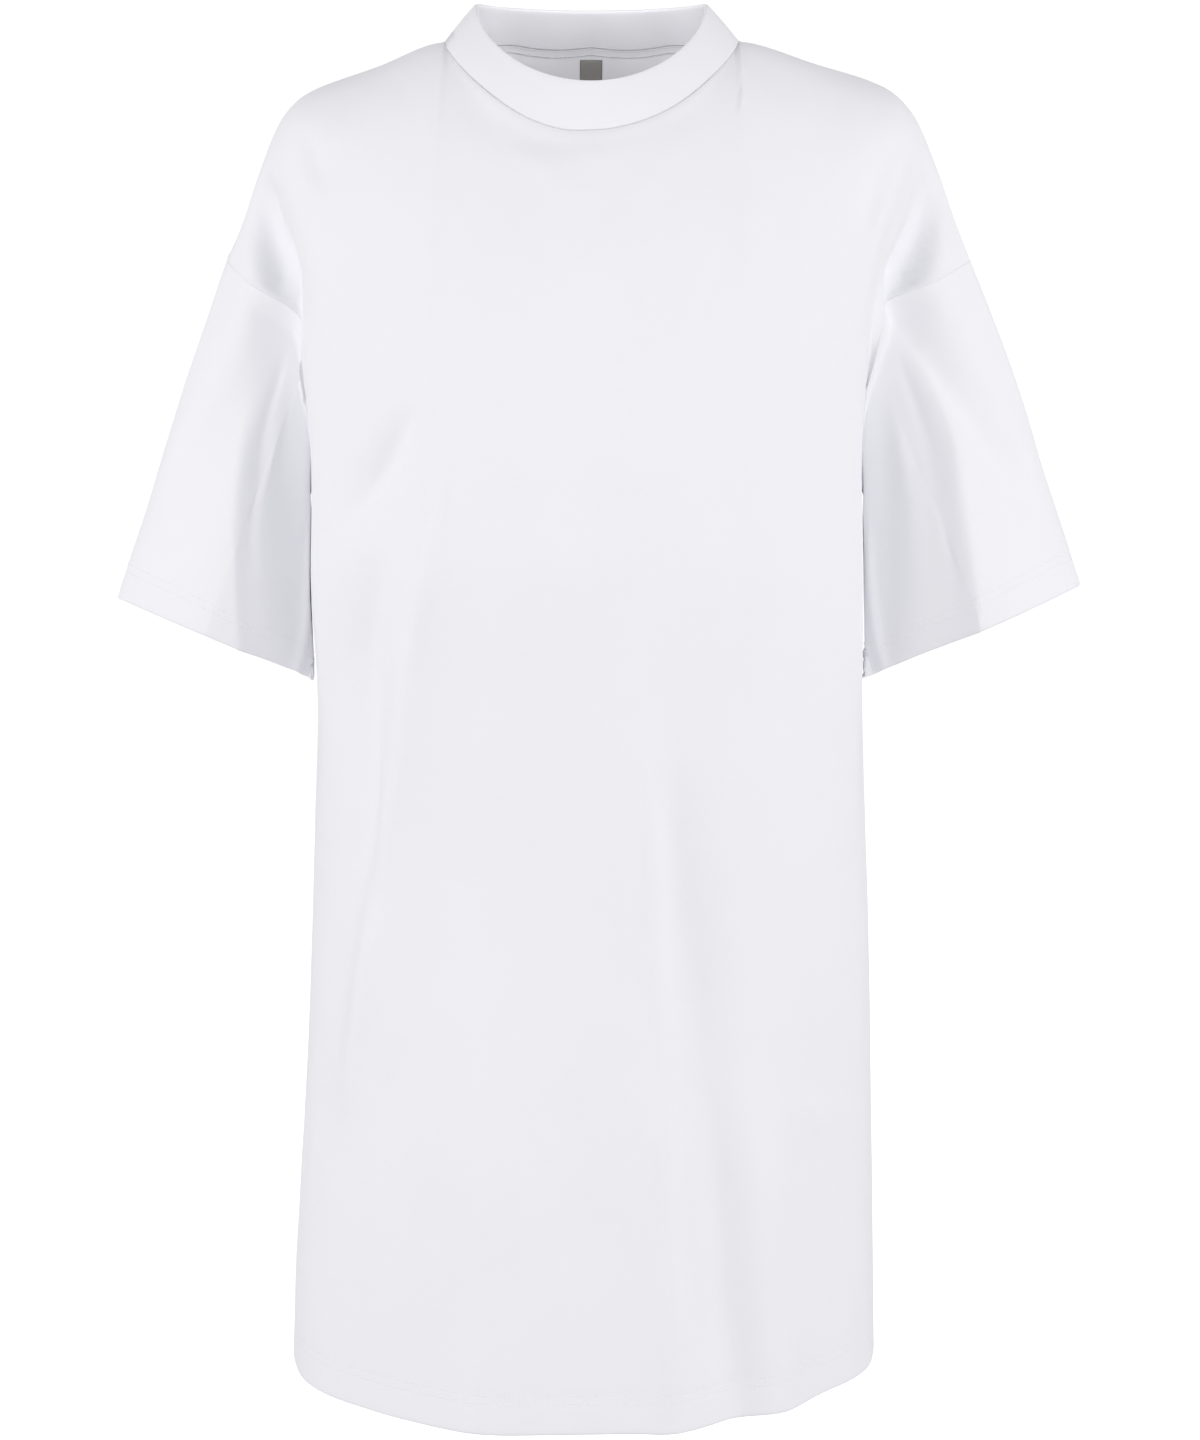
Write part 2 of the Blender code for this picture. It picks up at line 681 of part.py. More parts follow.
def build():
    """The whole dress."""
    for obj in list(bpy.data.objects):
        bpy.data.objects.remove(obj, do_unlink=True)
    dress = bpy.data.collections.new("t_shirt_dress")
    bpy.context.scene.collection.children.link(dress)

    front = panel_points(-1)
    cloth_object("front", front, dress, cloth_finish("front_jersey", WHITE_JERSEY, 0.9), hemmed(front))
    back = panel_points(1)[:, ::-1]
    cloth_object("back", back, dress, cloth_finish("back_jersey", WHITE_JERSEY, 0.9), hemmed(back))
    for cuff in CUFFS:
        rows = sleeve_points(cuff)[:, :: -cuff.side]
        finish = cloth_finish(cuff.name + "_jersey", WHITE_JERSEY, 0.9)
        cloth_object(cuff.name, rows, dress, finish, hemmed(rows), closed=True)
    band = collar_points()
    finish = cloth_finish("collar_jersey", WHITE_JERSEY, 0.9)
    cloth_object("collar", band, dress, finish, [DOUBLE_PLY] * len(band), closed=True)
    label = label_points()
    finish = cloth_finish("label_tape", GREY_TAPE, 0.7)
    cloth_object("size_label", label, dress, finish, [LABEL_WALL] * len(label))


build()
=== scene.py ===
"""Looks of an oversized white t-shirt dress, filled out as worn and open at neck, cuffs and hem.

Each piece of cloth is a fine grid on the form of its solid, with the creases laid on it. Hems,
cuffs and the collar's rim are turned in as sewn and held by stitches. Shoulder, side and neck seams sink
into a shallow ditch, armhole seams stand up as a low ridge, and Solidify gives the cloth its wall. +Z is up,
the front faces -Y, and left and right are as seen from the front.
"""

from __future__ import annotations

import logging
import math
from dataclasses import dataclass, field
from enum import Enum

import bmesh
import bpy
import numpy as np
from mathutils import Matrix, Vector, noise

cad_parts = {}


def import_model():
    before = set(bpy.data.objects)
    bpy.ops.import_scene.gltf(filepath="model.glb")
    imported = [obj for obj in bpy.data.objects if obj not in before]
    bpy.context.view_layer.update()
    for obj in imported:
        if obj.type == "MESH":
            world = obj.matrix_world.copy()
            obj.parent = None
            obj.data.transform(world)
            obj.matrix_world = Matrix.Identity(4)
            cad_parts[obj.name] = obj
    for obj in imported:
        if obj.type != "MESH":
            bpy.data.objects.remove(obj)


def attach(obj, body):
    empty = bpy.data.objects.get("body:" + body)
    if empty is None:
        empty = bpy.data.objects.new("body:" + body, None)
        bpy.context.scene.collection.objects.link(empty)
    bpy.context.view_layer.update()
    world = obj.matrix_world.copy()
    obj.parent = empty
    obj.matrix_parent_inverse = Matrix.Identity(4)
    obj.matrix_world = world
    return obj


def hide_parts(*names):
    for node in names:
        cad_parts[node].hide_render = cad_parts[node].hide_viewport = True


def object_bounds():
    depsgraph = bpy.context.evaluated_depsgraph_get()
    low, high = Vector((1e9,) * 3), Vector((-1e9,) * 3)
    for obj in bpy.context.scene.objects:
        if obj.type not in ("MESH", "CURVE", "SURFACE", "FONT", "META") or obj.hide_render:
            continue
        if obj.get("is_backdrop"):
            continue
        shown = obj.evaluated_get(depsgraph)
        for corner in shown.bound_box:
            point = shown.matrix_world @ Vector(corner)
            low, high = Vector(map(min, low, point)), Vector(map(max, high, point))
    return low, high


log = logging.getLogger("t_shirt_dress")

Array = np.ndarray
Path = tuple[tuple[float, float], ...]
Point = tuple[float, float, float]
Colour = tuple[float, float, float]
Material = bpy.types.Material

PLY = 0.00115  # wall of one ply of jersey
FOLD_RADIUS = 0.0012  # of the outer face where cloth is turned in
ROOT = "root"
WHITE = (0.84, 0.838, 0.872)
THREAD_WHITE = (0.88, 0.878, 0.90)
LABEL_GREY = (0.27, 0.26, 0.245)
EDGE_STEPS = (0.0006, 0.0013, 0.0022, 0.0034)  # distances of the close rows and columns beside a seam
TINY = 1e-6
MERGE = 0.00001  # distance under which points of a closed cloth are one


class Face(Enum):
    """A body panel, by the way it faces along Y."""

    FRONT = -1
    BACK = 1

    @property
    def word(self) -> str:
        """The word that starts the names of this panel's columns."""
        return self.name.lower()


class Hand(Enum):
    """A side of the dress, by its sign along X."""

    LEFT = -1
    RIGHT = 1


# ---------------------------------------------------------------- sizes of the form


@dataclass(frozen=True)
class Ring:
    """One level section of the body, from underarm to hem."""

    z: float
    half_width: float
    front: float
    back: float
    front_square: float
    back_square: float
    side_y: float
    sway: float


RINGS = (
    Ring(-0.290, 0.1800, 0.146, 0.122, 2.35, 2.10, -0.006, -0.0020),
    Ring(-0.350, 0.1815, 0.150, 0.118, 2.30, 2.10, -0.003, -0.0018),
    Ring(-0.415, 0.1808, 0.150, 0.115, 2.20, 2.10, 0.000, -0.0004),
    Ring(-0.520, 0.1845, 0.151, 0.122, 2.10, 2.10, 0.003, -0.0002),
    Ring(-0.630, 0.1888, 0.155, 0.132, 2.05, 2.10, 0.004, -0.0008),
    Ring(-0.740, 0.1932, 0.160, 0.140, 2.05, 2.05, 0.003, -0.0018),
    Ring(-0.873, 0.1972, 0.165, 0.146, 2.05, 2.00, 0.000, -0.0028),
)


@dataclass(frozen=True)
class Station:
    """One place across the shoulder, where an arch starts forward and back down to the underarm."""

    across: float
    x: float
    y: float
    front_z: float
    back_z: float
    lean: float
    front_reach: float
    front_in: float
    front_fall: float
    front_turn: float
    back_reach: float
    back_in: float
    back_fall: float
    back_turn: float
    drift: float
    sway: float
    tilt: float


STATIONS = (
    Station(
        0.000, 0.0000, 0.000, 0.0012, 0.0335, 0.10,
        0.22, 0, 0.30, 0, 0.50, 0, 0.30, 0,
        0, 0.0012, 0.0000,
    ),
    Station(
        0.200, 0.0494, 0.000, -0.0045, 0.0280, 0.20,
        0.24, 0, 0.30, 0, 0.41, 0, 0.30, 0,
        0, 0.0013, 0.0001,
    ),
    Station(
        0.389, 0.0960, 0.000, 0.0000, 0.0000, 0.30,
        0.25, 0, 0.30, 0, 0.30, 0, 0.30, 0,
        0, 0.0014, 0.0002,
    ),
    Station(
        0.520, 0.1425, 0.003, -0.0145, -0.0145, 0.15,
        0.27, 0, 0.30, 0, 0.28, 0, 0.30, 0,
        0, 0.0040, 0.0010,
    ),
    Station(
        0.658, 0.1893, 0.006, -0.0310, -0.0310, 0.08,
        0.29, 0, 0.30, 0, 0.28, 0, 0.30, 0,
        0, 0.0045, 0.0018,
    ),
    Station(
        0.728, 0.2080, 0.010, -0.0487, -0.0487, 0.05,
        0.28, 0.02, 0.30, 0.03, 0.28, 0, 0.30, 0.03,
        0, 0.0052, 0.0015,
    ),
    Station(
        0.821, 0.2225, 0.013, -0.0790, -0.0790, 0.04,
        0.22, 0.06, 0.29, 0.05, 0.25, 0, 0.30, 0.05,
        0.02, 0.0056, 0.0010,
    ),
    Station(
        0.926, 0.2360, 0.017, -0.1150, -0.1150, 0.20,
        0.25, 0.14, 0.27, 0.08, 0.23, 0, 0.28, 0.09,
        0.03, 0.0060, 0.0008,
    ),
    Station(
        1.000, 0.2465, 0.020, -0.1400, -0.1400, 0.46,
        0.31, 0.20, 0.23, 0.10, 0.23, 0, 0.25, 0.12,
        0.04, 0.0062, 0.0006,
    ),
)


@dataclass(frozen=True)
class Neckline:
    """The neck seam and the rim of the collar, each an ellipse seen from above."""

    half_width: float = 0.0955
    front: float = 0.0725
    back: float = 0.083
    sway: float = 0.0012
    rim_half_width: float = 0.0750
    rim_front: float = 0.0625
    rim_back: float = 0.0575
    rim_sway: float = 0.0010
    rim_side_z: float = 0.0245
    rim_front_z: float = -0.0335
    rim_back_z: float = 0.0305
    rim_front_dip: float = 1.15
    rim_back_dip: float = 0.6
    bulge: float = 0.0006
    side_share: float = 14 / 36  # where the side neck point lies across half a panel


@dataclass(frozen=True)
class Tuck:
    """How far forward the front of a sleeve may reach between its crest and the body."""

    top_x: float  # of the crest, at the armhole
    cuff_x: float
    bend: float  # below 1 it falls away fastest beside the crest
    knots: tuple[float, ...] = (0.0, 0.12, 0.25, 0.37, 0.48, 0.60, 1.0)
    depths: tuple[float, ...] = (-0.014, -0.017, -0.022, -0.028, -0.036, -0.042, -0.044)
    side_y: float = -0.010  # where the hollow ends, beside the body
    share: float = 0.88  # of the way back that the cloth is moved
    softness: float = 0.005  # of the bend where the hollow starts
    fade: float = 0.06  # share of the sleeve over which it starts


@dataclass(frozen=True)
class CuffSizes:
    """The open end of one sleeve."""

    hand: Hand
    outer_x: float
    outer_z: float
    inner_x: float
    inner_z: float
    outer_y: float
    inner_y: float
    front: float
    back: float
    lift: float
    bow: float
    tuck: Tuck


CUFFS = (
    CuffSizes(
        Hand.LEFT, 0.3180, -0.3635, 0.1825, -0.4145, 0.026, -0.032, 0.039, 0.093, 0.0040, 0.0025,
        Tuck(0.2350, 0.2270, 0.75),
    ),
    CuffSizes(
        Hand.RIGHT, 0.3300, -0.3545, 0.1815, -0.4140, 0.026, -0.032, 0.039, 0.093, 0.0025, 0.0035,
        Tuck(0.2365, 0.2530, 0.65),
    ),
)


# ---------------------------------------------------------------- creases


@dataclass(frozen=True)
class Crease:
    """One soft ridge or trough of a body panel, along a path seen from its own side."""

    face: Face
    path: Path
    rise: float  # height of a ridge, negative for a trough
    spread: float  # distance at which it has sunk to about a third
    runs_out: bool = False  # whether it has its full height at the last point
    end: float = 0.045  # length over which an end sinks away
    lean: float = 0.0  # above 0 it is steeper on its left, seen along the path


F, B = Face.FRONT, Face.BACK

LARGE_FOLDS = (
    # Recesses between chest and sleeve caps, each a deep trough and a broad one that part from one apex
    Crease(
        F,
        ((-0.215, -0.08), (-0.214, -0.11), (-0.206, -0.17), (-0.2, -0.205)),
        -0.019, 0.0095, True, 0.034,
    ),
    Crease(F, ((-0.213, -0.08), (-0.206, -0.12), (-0.192, -0.17), (-0.186, -0.215)), -0.011, 0.015, end=0.05),
    Crease(
        F,
        ((0.2265, -0.076), (0.2235, -0.105), (0.212, -0.165), (0.206, -0.205)),
        -0.019, 0.0095, True, 0.034,
    ),
    Crease(F, ((0.2245, -0.076), (0.212, -0.12), (0.195, -0.17), (0.188, -0.215)), -0.011, 0.015, end=0.05),
    # The shallow hollow below the collar
    Crease(F, ((-0.012, -0.02), (0.004, -0.085)), -0.006, 0.042, end=0.03),
    # Hollows on the shoulder caps
    Crease(F, ((-0.184, -0.052), (-0.174, -0.083), (-0.166, -0.115)), -0.004, 0.012),
    Crease(F, ((0.2, -0.06), (0.187, -0.087), (0.176, -0.12), (0.172, -0.145)), -0.005, 0.012),
    # Drag trough from the left underarm, the long ridge below it and the broad trough beside that
    Crease(F, ((-0.098, -0.225), (-0.128, -0.278), (-0.168, -0.33)), -0.006, 0.014, end=0.06),
    Crease(
        F,
        ((-0.094, -0.245), (-0.09, -0.3), (-0.104, -0.395), (-0.117, -0.48), (-0.141, -0.6), (-0.168, -0.72)),
        0.007, 0.019, end=0.11,
    ),
    Crease(
        F,
        ((-0.136, -0.29), (-0.146, -0.4), (-0.15, -0.5), (-0.166, -0.64), (-0.178, -0.76)),
        -0.009, 0.022, end=0.13,
    ),
    # Long ridge right of the centre, and the broad troughs beside it down to the hem
    Crease(
        F,
        ((0.03, -0.33), (0.034, -0.43), (0.04, -0.56), (0.045, -0.75), (0.05, -0.873)),
        0.006, 0.017, True, end=0.2,
    ),
    Crease(
        F,
        ((0.046, -0.39), (0.062, -0.56), (0.08, -0.7), (0.086, -0.78), (0.1, -0.873)),
        -0.009, 0.022, True, 0.22,
    ),
    Crease(F, ((0.12, -0.56), (0.146, -0.68), (0.156, -0.79), (0.16, -0.873)), -0.01, 0.028, True, 0.2),
    # Swell of the left half of the hem
    Crease(F, ((-0.06, -0.52), (-0.066, -0.7), (-0.07, -0.873)), 0.008, 0.04, True, 0.22),
    Crease(F, ((-0.176, -0.74), (-0.18, -0.8), (-0.183, -0.873)), 0.003, 0.02, True, 0.09),
    # The back: one long hollow over the spine, drag from both underarms, and hem waves
    Crease(B, ((0.01, -0.08), (0.004, -0.24), (-0.004, -0.42)), -0.004, 0.03, end=0.12),
    Crease(B, ((-0.1, -0.2), (-0.13, -0.26), (-0.166, -0.32)), -0.005, 0.016, end=0.06),
    Crease(B, ((0.096, -0.19), (0.132, -0.262), (0.168, -0.335)), -0.005, 0.016, end=0.06),
    Crease(B, ((-0.07, -0.32), (-0.078, -0.52), (-0.07, -0.7), (-0.078, -0.873)), 0.008, 0.026, True, 0.2),
    Crease(B, ((0.0, -0.44), (0.008, -0.66), (0.014, -0.873)), -0.008, 0.028, True, 0.24),
    Crease(B, ((0.092, -0.36), (0.086, -0.6), (0.098, -0.873)), 0.008, 0.026, True, 0.2),
    Crease(B, ((0.154, -0.48), (0.158, -0.7), (0.162, -0.873)), -0.006, 0.018, True, 0.18),
    Crease(B, ((-0.142, -0.42), (-0.15, -0.68), (-0.152, -0.873)), -0.006, 0.02, True, 0.2),
)

FINE_CREASES = (
    # Left drag crease and the sharper crest of the long ridge
    Crease(F, ((-0.104, -0.232), (-0.131, -0.284), (-0.16, -0.322)), -0.0022, 0.006, end=0.03, lean=0.3),
    Crease(
        F,
        (
            (-0.1, -0.24), (-0.089, -0.272), (-0.096, -0.342),
            (-0.108, -0.401), (-0.115, -0.465), (-0.131, -0.545),
        ),
        0.0034, 0.009, end=0.06, lean=0.35,
    ),
    Crease(F, ((-0.131, -0.545), (-0.148, -0.628), (-0.162, -0.7)), 0.0026, 0.009, end=0.04, lean=0.3),
    Crease(F, ((-0.13, -0.313), (-0.144, -0.393), (-0.141, -0.496), (-0.151, -0.56)), -0.004, 0.01, end=0.05),
    Crease(F, ((-0.119, -0.63), (-0.121, -0.655), (-0.123, -0.68)), -0.0012, 0.004, end=0.02),
    # Right of the centre
    Crease(
        F,
        ((0.032, -0.43), (0.034, -0.5), (0.036, -0.565), (0.04, -0.64)),
        0.0024, 0.008, end=0.07, lean=-0.4,
    ),
    Crease(
        F,
        ((0.047, -0.43), (0.05, -0.56), (0.054, -0.68), (0.06, -0.779), (0.068, -0.873)),
        -0.0036, 0.011, end=0.08,
    ),
    Crease(F, ((0.04, -0.64), (0.044, -0.746), (0.05, -0.873)), 0.0022, 0.01, end=0.06, lean=-0.3),
    Crease(F, ((0.079, -0.69), (0.083, -0.779), (0.092, -0.873)), -0.0008, 0.012, True, end=0.06),
    Crease(F, ((0.1, -0.64), (0.112, -0.76), (0.122, -0.873)), 0.003, 0.018, True, end=0.09),
    Crease(F, ((0.14, -0.668), (0.151, -0.69), (0.16, -0.712)), 0.0016, 0.008, end=0.022),
    Crease(F, ((0.16, -0.475), (0.163, -0.505), (0.162, -0.535)), 0.0012, 0.008, end=0.022),
    # Chest: thin diagonal creases towards the underarms
    Crease(F, ((-0.063, -0.146), (-0.053, -0.172), (-0.045, -0.196)), -0.0009, 0.005, end=0.02),
    Crease(F, ((0.087, -0.134), (0.075, -0.165), (0.064, -0.2)), -0.0009, 0.005, end=0.024),
    Crease(F, ((-0.15, -0.14), (-0.138, -0.19), (-0.118, -0.235)), 0.0014, 0.011, end=0.035),
    Crease(F, ((0.16, -0.145), (0.15, -0.2), (0.14, -0.25)), 0.0014, 0.011, end=0.035),
    # Below the collar: the two soft lines that meet at the top of the chest, and the line on the left
    Crease(F, ((-0.0676, -0.055), (-0.03, -0.092), (0.01, -0.122)), 0.0014, 0.009, end=0.03),
    Crease(F, ((0.0633, -0.059), (0.043, -0.095), (0.022, -0.122)), 0.0014, 0.009, end=0.03),
    Crease(F, ((-0.09, -0.036), (-0.066, -0.058), (-0.04, -0.085)), -0.001, 0.007, end=0.02),
    # Short creases on the shoulders
    Crease(F, ((-0.154, -0.03), (-0.152, -0.048), (-0.15, -0.066)), -0.001, 0.004, end=0.014),
    Crease(F, ((-0.13, -0.022), (-0.12, -0.038), (-0.113, -0.054)), -0.001, 0.004, end=0.014),
    Crease(F, ((0.158, -0.032), (0.158, -0.048), (0.158, -0.062)), -0.0009, 0.004, end=0.012),
    Crease(F, ((0.124, -0.022), (0.124, -0.034), (0.124, -0.048)), -0.0008, 0.004, end=0.012),
    Crease(F, ((0.1, -0.02), (0.098, -0.03), (0.097, -0.042)), -0.0007, 0.0035, end=0.01),
    # Shoulder caps
    Crease(F, ((-0.186, -0.052), (-0.174, -0.082), (-0.164, -0.108)), -0.002, 0.0055, end=0.022),
    Crease(F, ((0.2, -0.062), (0.187, -0.087), (0.177, -0.116), (0.172, -0.14)), -0.0022, 0.0055, end=0.022),
    Crease(F, ((0.208, -0.07), (0.197, -0.088)), 0.0012, 0.0045, end=0.012),
    # The back, alike but its own
    Crease(B, ((-0.11, -0.21), (-0.134, -0.262), (-0.16, -0.312)), -0.002, 0.0065, end=0.03, lean=0.3),
    Crease(B, ((0.104, -0.2), (0.134, -0.262), (0.162, -0.322)), -0.002, 0.0065, end=0.03, lean=-0.3),
    Crease(B, ((-0.074, -0.4), (-0.079, -0.52), (-0.072, -0.66)), 0.0014, 0.009, end=0.08),
    Crease(B, ((0.09, -0.44), (0.086, -0.6), (0.092, -0.74)), 0.0014, 0.009, end=0.08),
    Crease(B, ((0.02, -0.56), (0.026, -0.7), (0.03, -0.873)), -0.0016, 0.01, True, end=0.06),
    Crease(B, ((-0.108, -0.56), (-0.116, -0.7), (-0.114, -0.873)), -0.0018, 0.01, True, end=0.06),
    Crease(B, ((-0.16, -0.09), (-0.15, -0.13), (-0.146, -0.165)), -0.0018, 0.006, end=0.022),
    Crease(B, ((0.168, -0.088), (0.156, -0.13), (0.15, -0.17)), -0.0018, 0.006, end=0.022),
    Crease(B, ((-0.05, -0.02), (-0.03, -0.06), (-0.022, -0.11)), -0.001, 0.008, end=0.03),
    Crease(B, ((0.056, -0.02), (0.038, -0.06), (0.03, -0.115)), -0.001, 0.008, end=0.03),
)

# The sharp upper parts of the recesses, which sink square to the cloth
RECESS_CREASES = (
    Crease(
        F,
        ((-0.2178, -0.085), (-0.2112, -0.12), (-0.2033, -0.143), (-0.1955, -0.168)),
        -0.009, 0.009, end=0.02,
    ),
    Crease(
        F,
        ((0.2283, -0.084), (0.2226, -0.107), (0.2118, -0.136), (0.195, -0.166)),
        -0.009, 0.009, end=0.02,
    ),
)


@dataclass(frozen=True)
class SleeveFold:
    """One straight ridge or trough of a sleeve."""

    hand: Hand
    start_turn: float  # degrees round the sleeve from its outer line, over the front
    end_turn: float
    start_share: float
    end_share: float
    rise: float
    spread: float  # degrees


L, R = Hand.LEFT, Hand.RIGHT

SLEEVE_HOLLOWS = (
    # Along the back
    SleeveFold(L, 235, 250, 0.10, 1.40, -0.006, 18),
    SleeveFold(R, 230, 244, 0.10, 1.40, -0.006, 18),
)

FINE_SLEEVE_FOLDS = (
    SleeveFold(L, 150, 158, 0.35, 1.60, 0.0022, 4),
    SleeveFold(L, 84, 142, 0.15, 1.10, 0.0024, 10),
    SleeveFold(L, 52, 118, 0.06, 0.80, -0.0016, 6),
    SleeveFold(L, 262, 280, 0.15, 1.20, 0.0016, 9),
    SleeveFold(L, 300, 292, 0.10, 0.90, -0.0014, 8),
    SleeveFold(R, 148, 158, 0.35, 1.60, 0.0022, 4),
    SleeveFold(R, 92, 146, 0.12, 1.20, 0.0028, 12),
    SleeveFold(R, 60, 104, 0.06, 0.90, -0.0014, 6),
    SleeveFold(R, 258, 274, 0.15, 1.20, 0.0016, 9),
    SleeveFold(R, 298, 290, 0.10, 0.90, -0.0014, 8),
)


# ---------------------------------------------------------------- curves and directions


def between(knots: list[float], values: list[float], at: Array, level_start: bool = False) -> Array:
    """Values at places between a table's rows, on a smooth curve that doesn't overshoot them.

    Args:
        knots: Places of the table's rows, rising.
        values: The column's value in each row.
        at: Places to read.
        level_start: Whether the curve leaves the first row level.

    Returns:
        One value for each place.
    """
    knots_, values_, at_ = (np.asarray(a, float) for a in (knots, values, at))
    step = np.diff(knots_)
    slope = np.diff(values_) / step
    bend = np.zeros(len(knots_))
    same = slope[:-1] * slope[1:] > 0
    mean = 2 * slope[:-1] * slope[1:] / np.where(same, slope[:-1] + slope[1:], 1)
    bend[1:-1] = np.where(same, mean, 0)
    bend[0] = 0 if level_start else slope[0]
    bend[-1] = slope[-1]
    k = np.clip(np.searchsorted(knots_, at_) - 1, 0, len(step) - 1)
    t = (at_ - knots_[k]) / step[k]
    start = (2 * t**3 - 3 * t**2 + 1) * values_[k] + (t**3 - 2 * t**2 + t) * step[k] * bend[k]
    end = (3 * t**2 - 2 * t**3) * values_[k + 1] + (t**3 - t**2) * step[k] * bend[k + 1]
    return start + end


def hermite(start: Array, leave: Array, end: Array, arrive: Array, t: Array) -> Array:
    """Points of cubic arches.

    Args:
        start: Where each arch starts.
        leave: The speed at which it leaves.
        end: Where it ends.
        arrive: The speed at which it arrives.
        t: The share of each arch.

    Returns:
        One point for each arch.
    """
    t = np.asarray(t)[..., None]
    rising = 3 * t**2 - 2 * t**3
    return (1 - rising) * start + (t**3 - 2 * t**2 + t) * leave + rising * end + (t**3 - t**2) * arrive


def smooth(share: Array) -> Array:
    """A smooth step from 0 to 1."""
    share = np.clip(share, 0, 1)
    return share * share * (3 - 2 * share)


def unit(vectors: Array) -> Array:
    """Vectors of length one, in the same directions."""
    return vectors / np.linalg.norm(vectors, axis=-1, keepdims=True)


def path_distance(points: Array, path: Path) -> tuple[Array, Array, float]:
    """How far points lie from a path.

    Args:
        points: Points in the plane of the path.
        path: Its corners.

    Returns:
        The distance, above 0 on the left of the path, how far along it the nearest point lies, and its length.
    """
    best = np.full(points.shape[:-1], np.inf)
    signed = np.zeros(points.shape[:-1])
    along = np.zeros(points.shape[:-1])
    length = 0.0
    for start, end in zip(path[:-1], path[1:]):
        first, run = np.array(start), np.array(end) - np.array(start)
        step = float(np.linalg.norm(run))
        share = np.clip(((points - first) @ run) / step**2, 0, 1)
        offset = points - first - share[..., None] * run
        away = np.linalg.norm(offset, axis=-1)
        hand = np.sign(run[0] * offset[..., 1] - run[1] * offset[..., 0])
        along = np.where(away < best, length + share * step, along)
        signed = np.where(away < best, hand * away, signed)
        best = np.minimum(best, away)
        length += step
    return signed, along, length


@dataclass(frozen=True)
class Waves:
    """Soft uneven waves that run down the cloth."""

    height: float
    across: float  # size of a wave round the body
    down: float  # size of a wave along it
    seed: float  # where the pattern is read from

    def heights(self, points: Array) -> Array:
        """A height for each point, above or below the cloth."""
        flat = points.reshape(-1, 3) / (self.across, self.across, self.down)
        seed = self.seed
        values = [noise.noise(Vector((x + seed, y - seed, z))) for x, y, z in flat]
        return self.height * np.array(values).reshape(points.shape[:-1])


# ---------------------------------------------------------------- the form


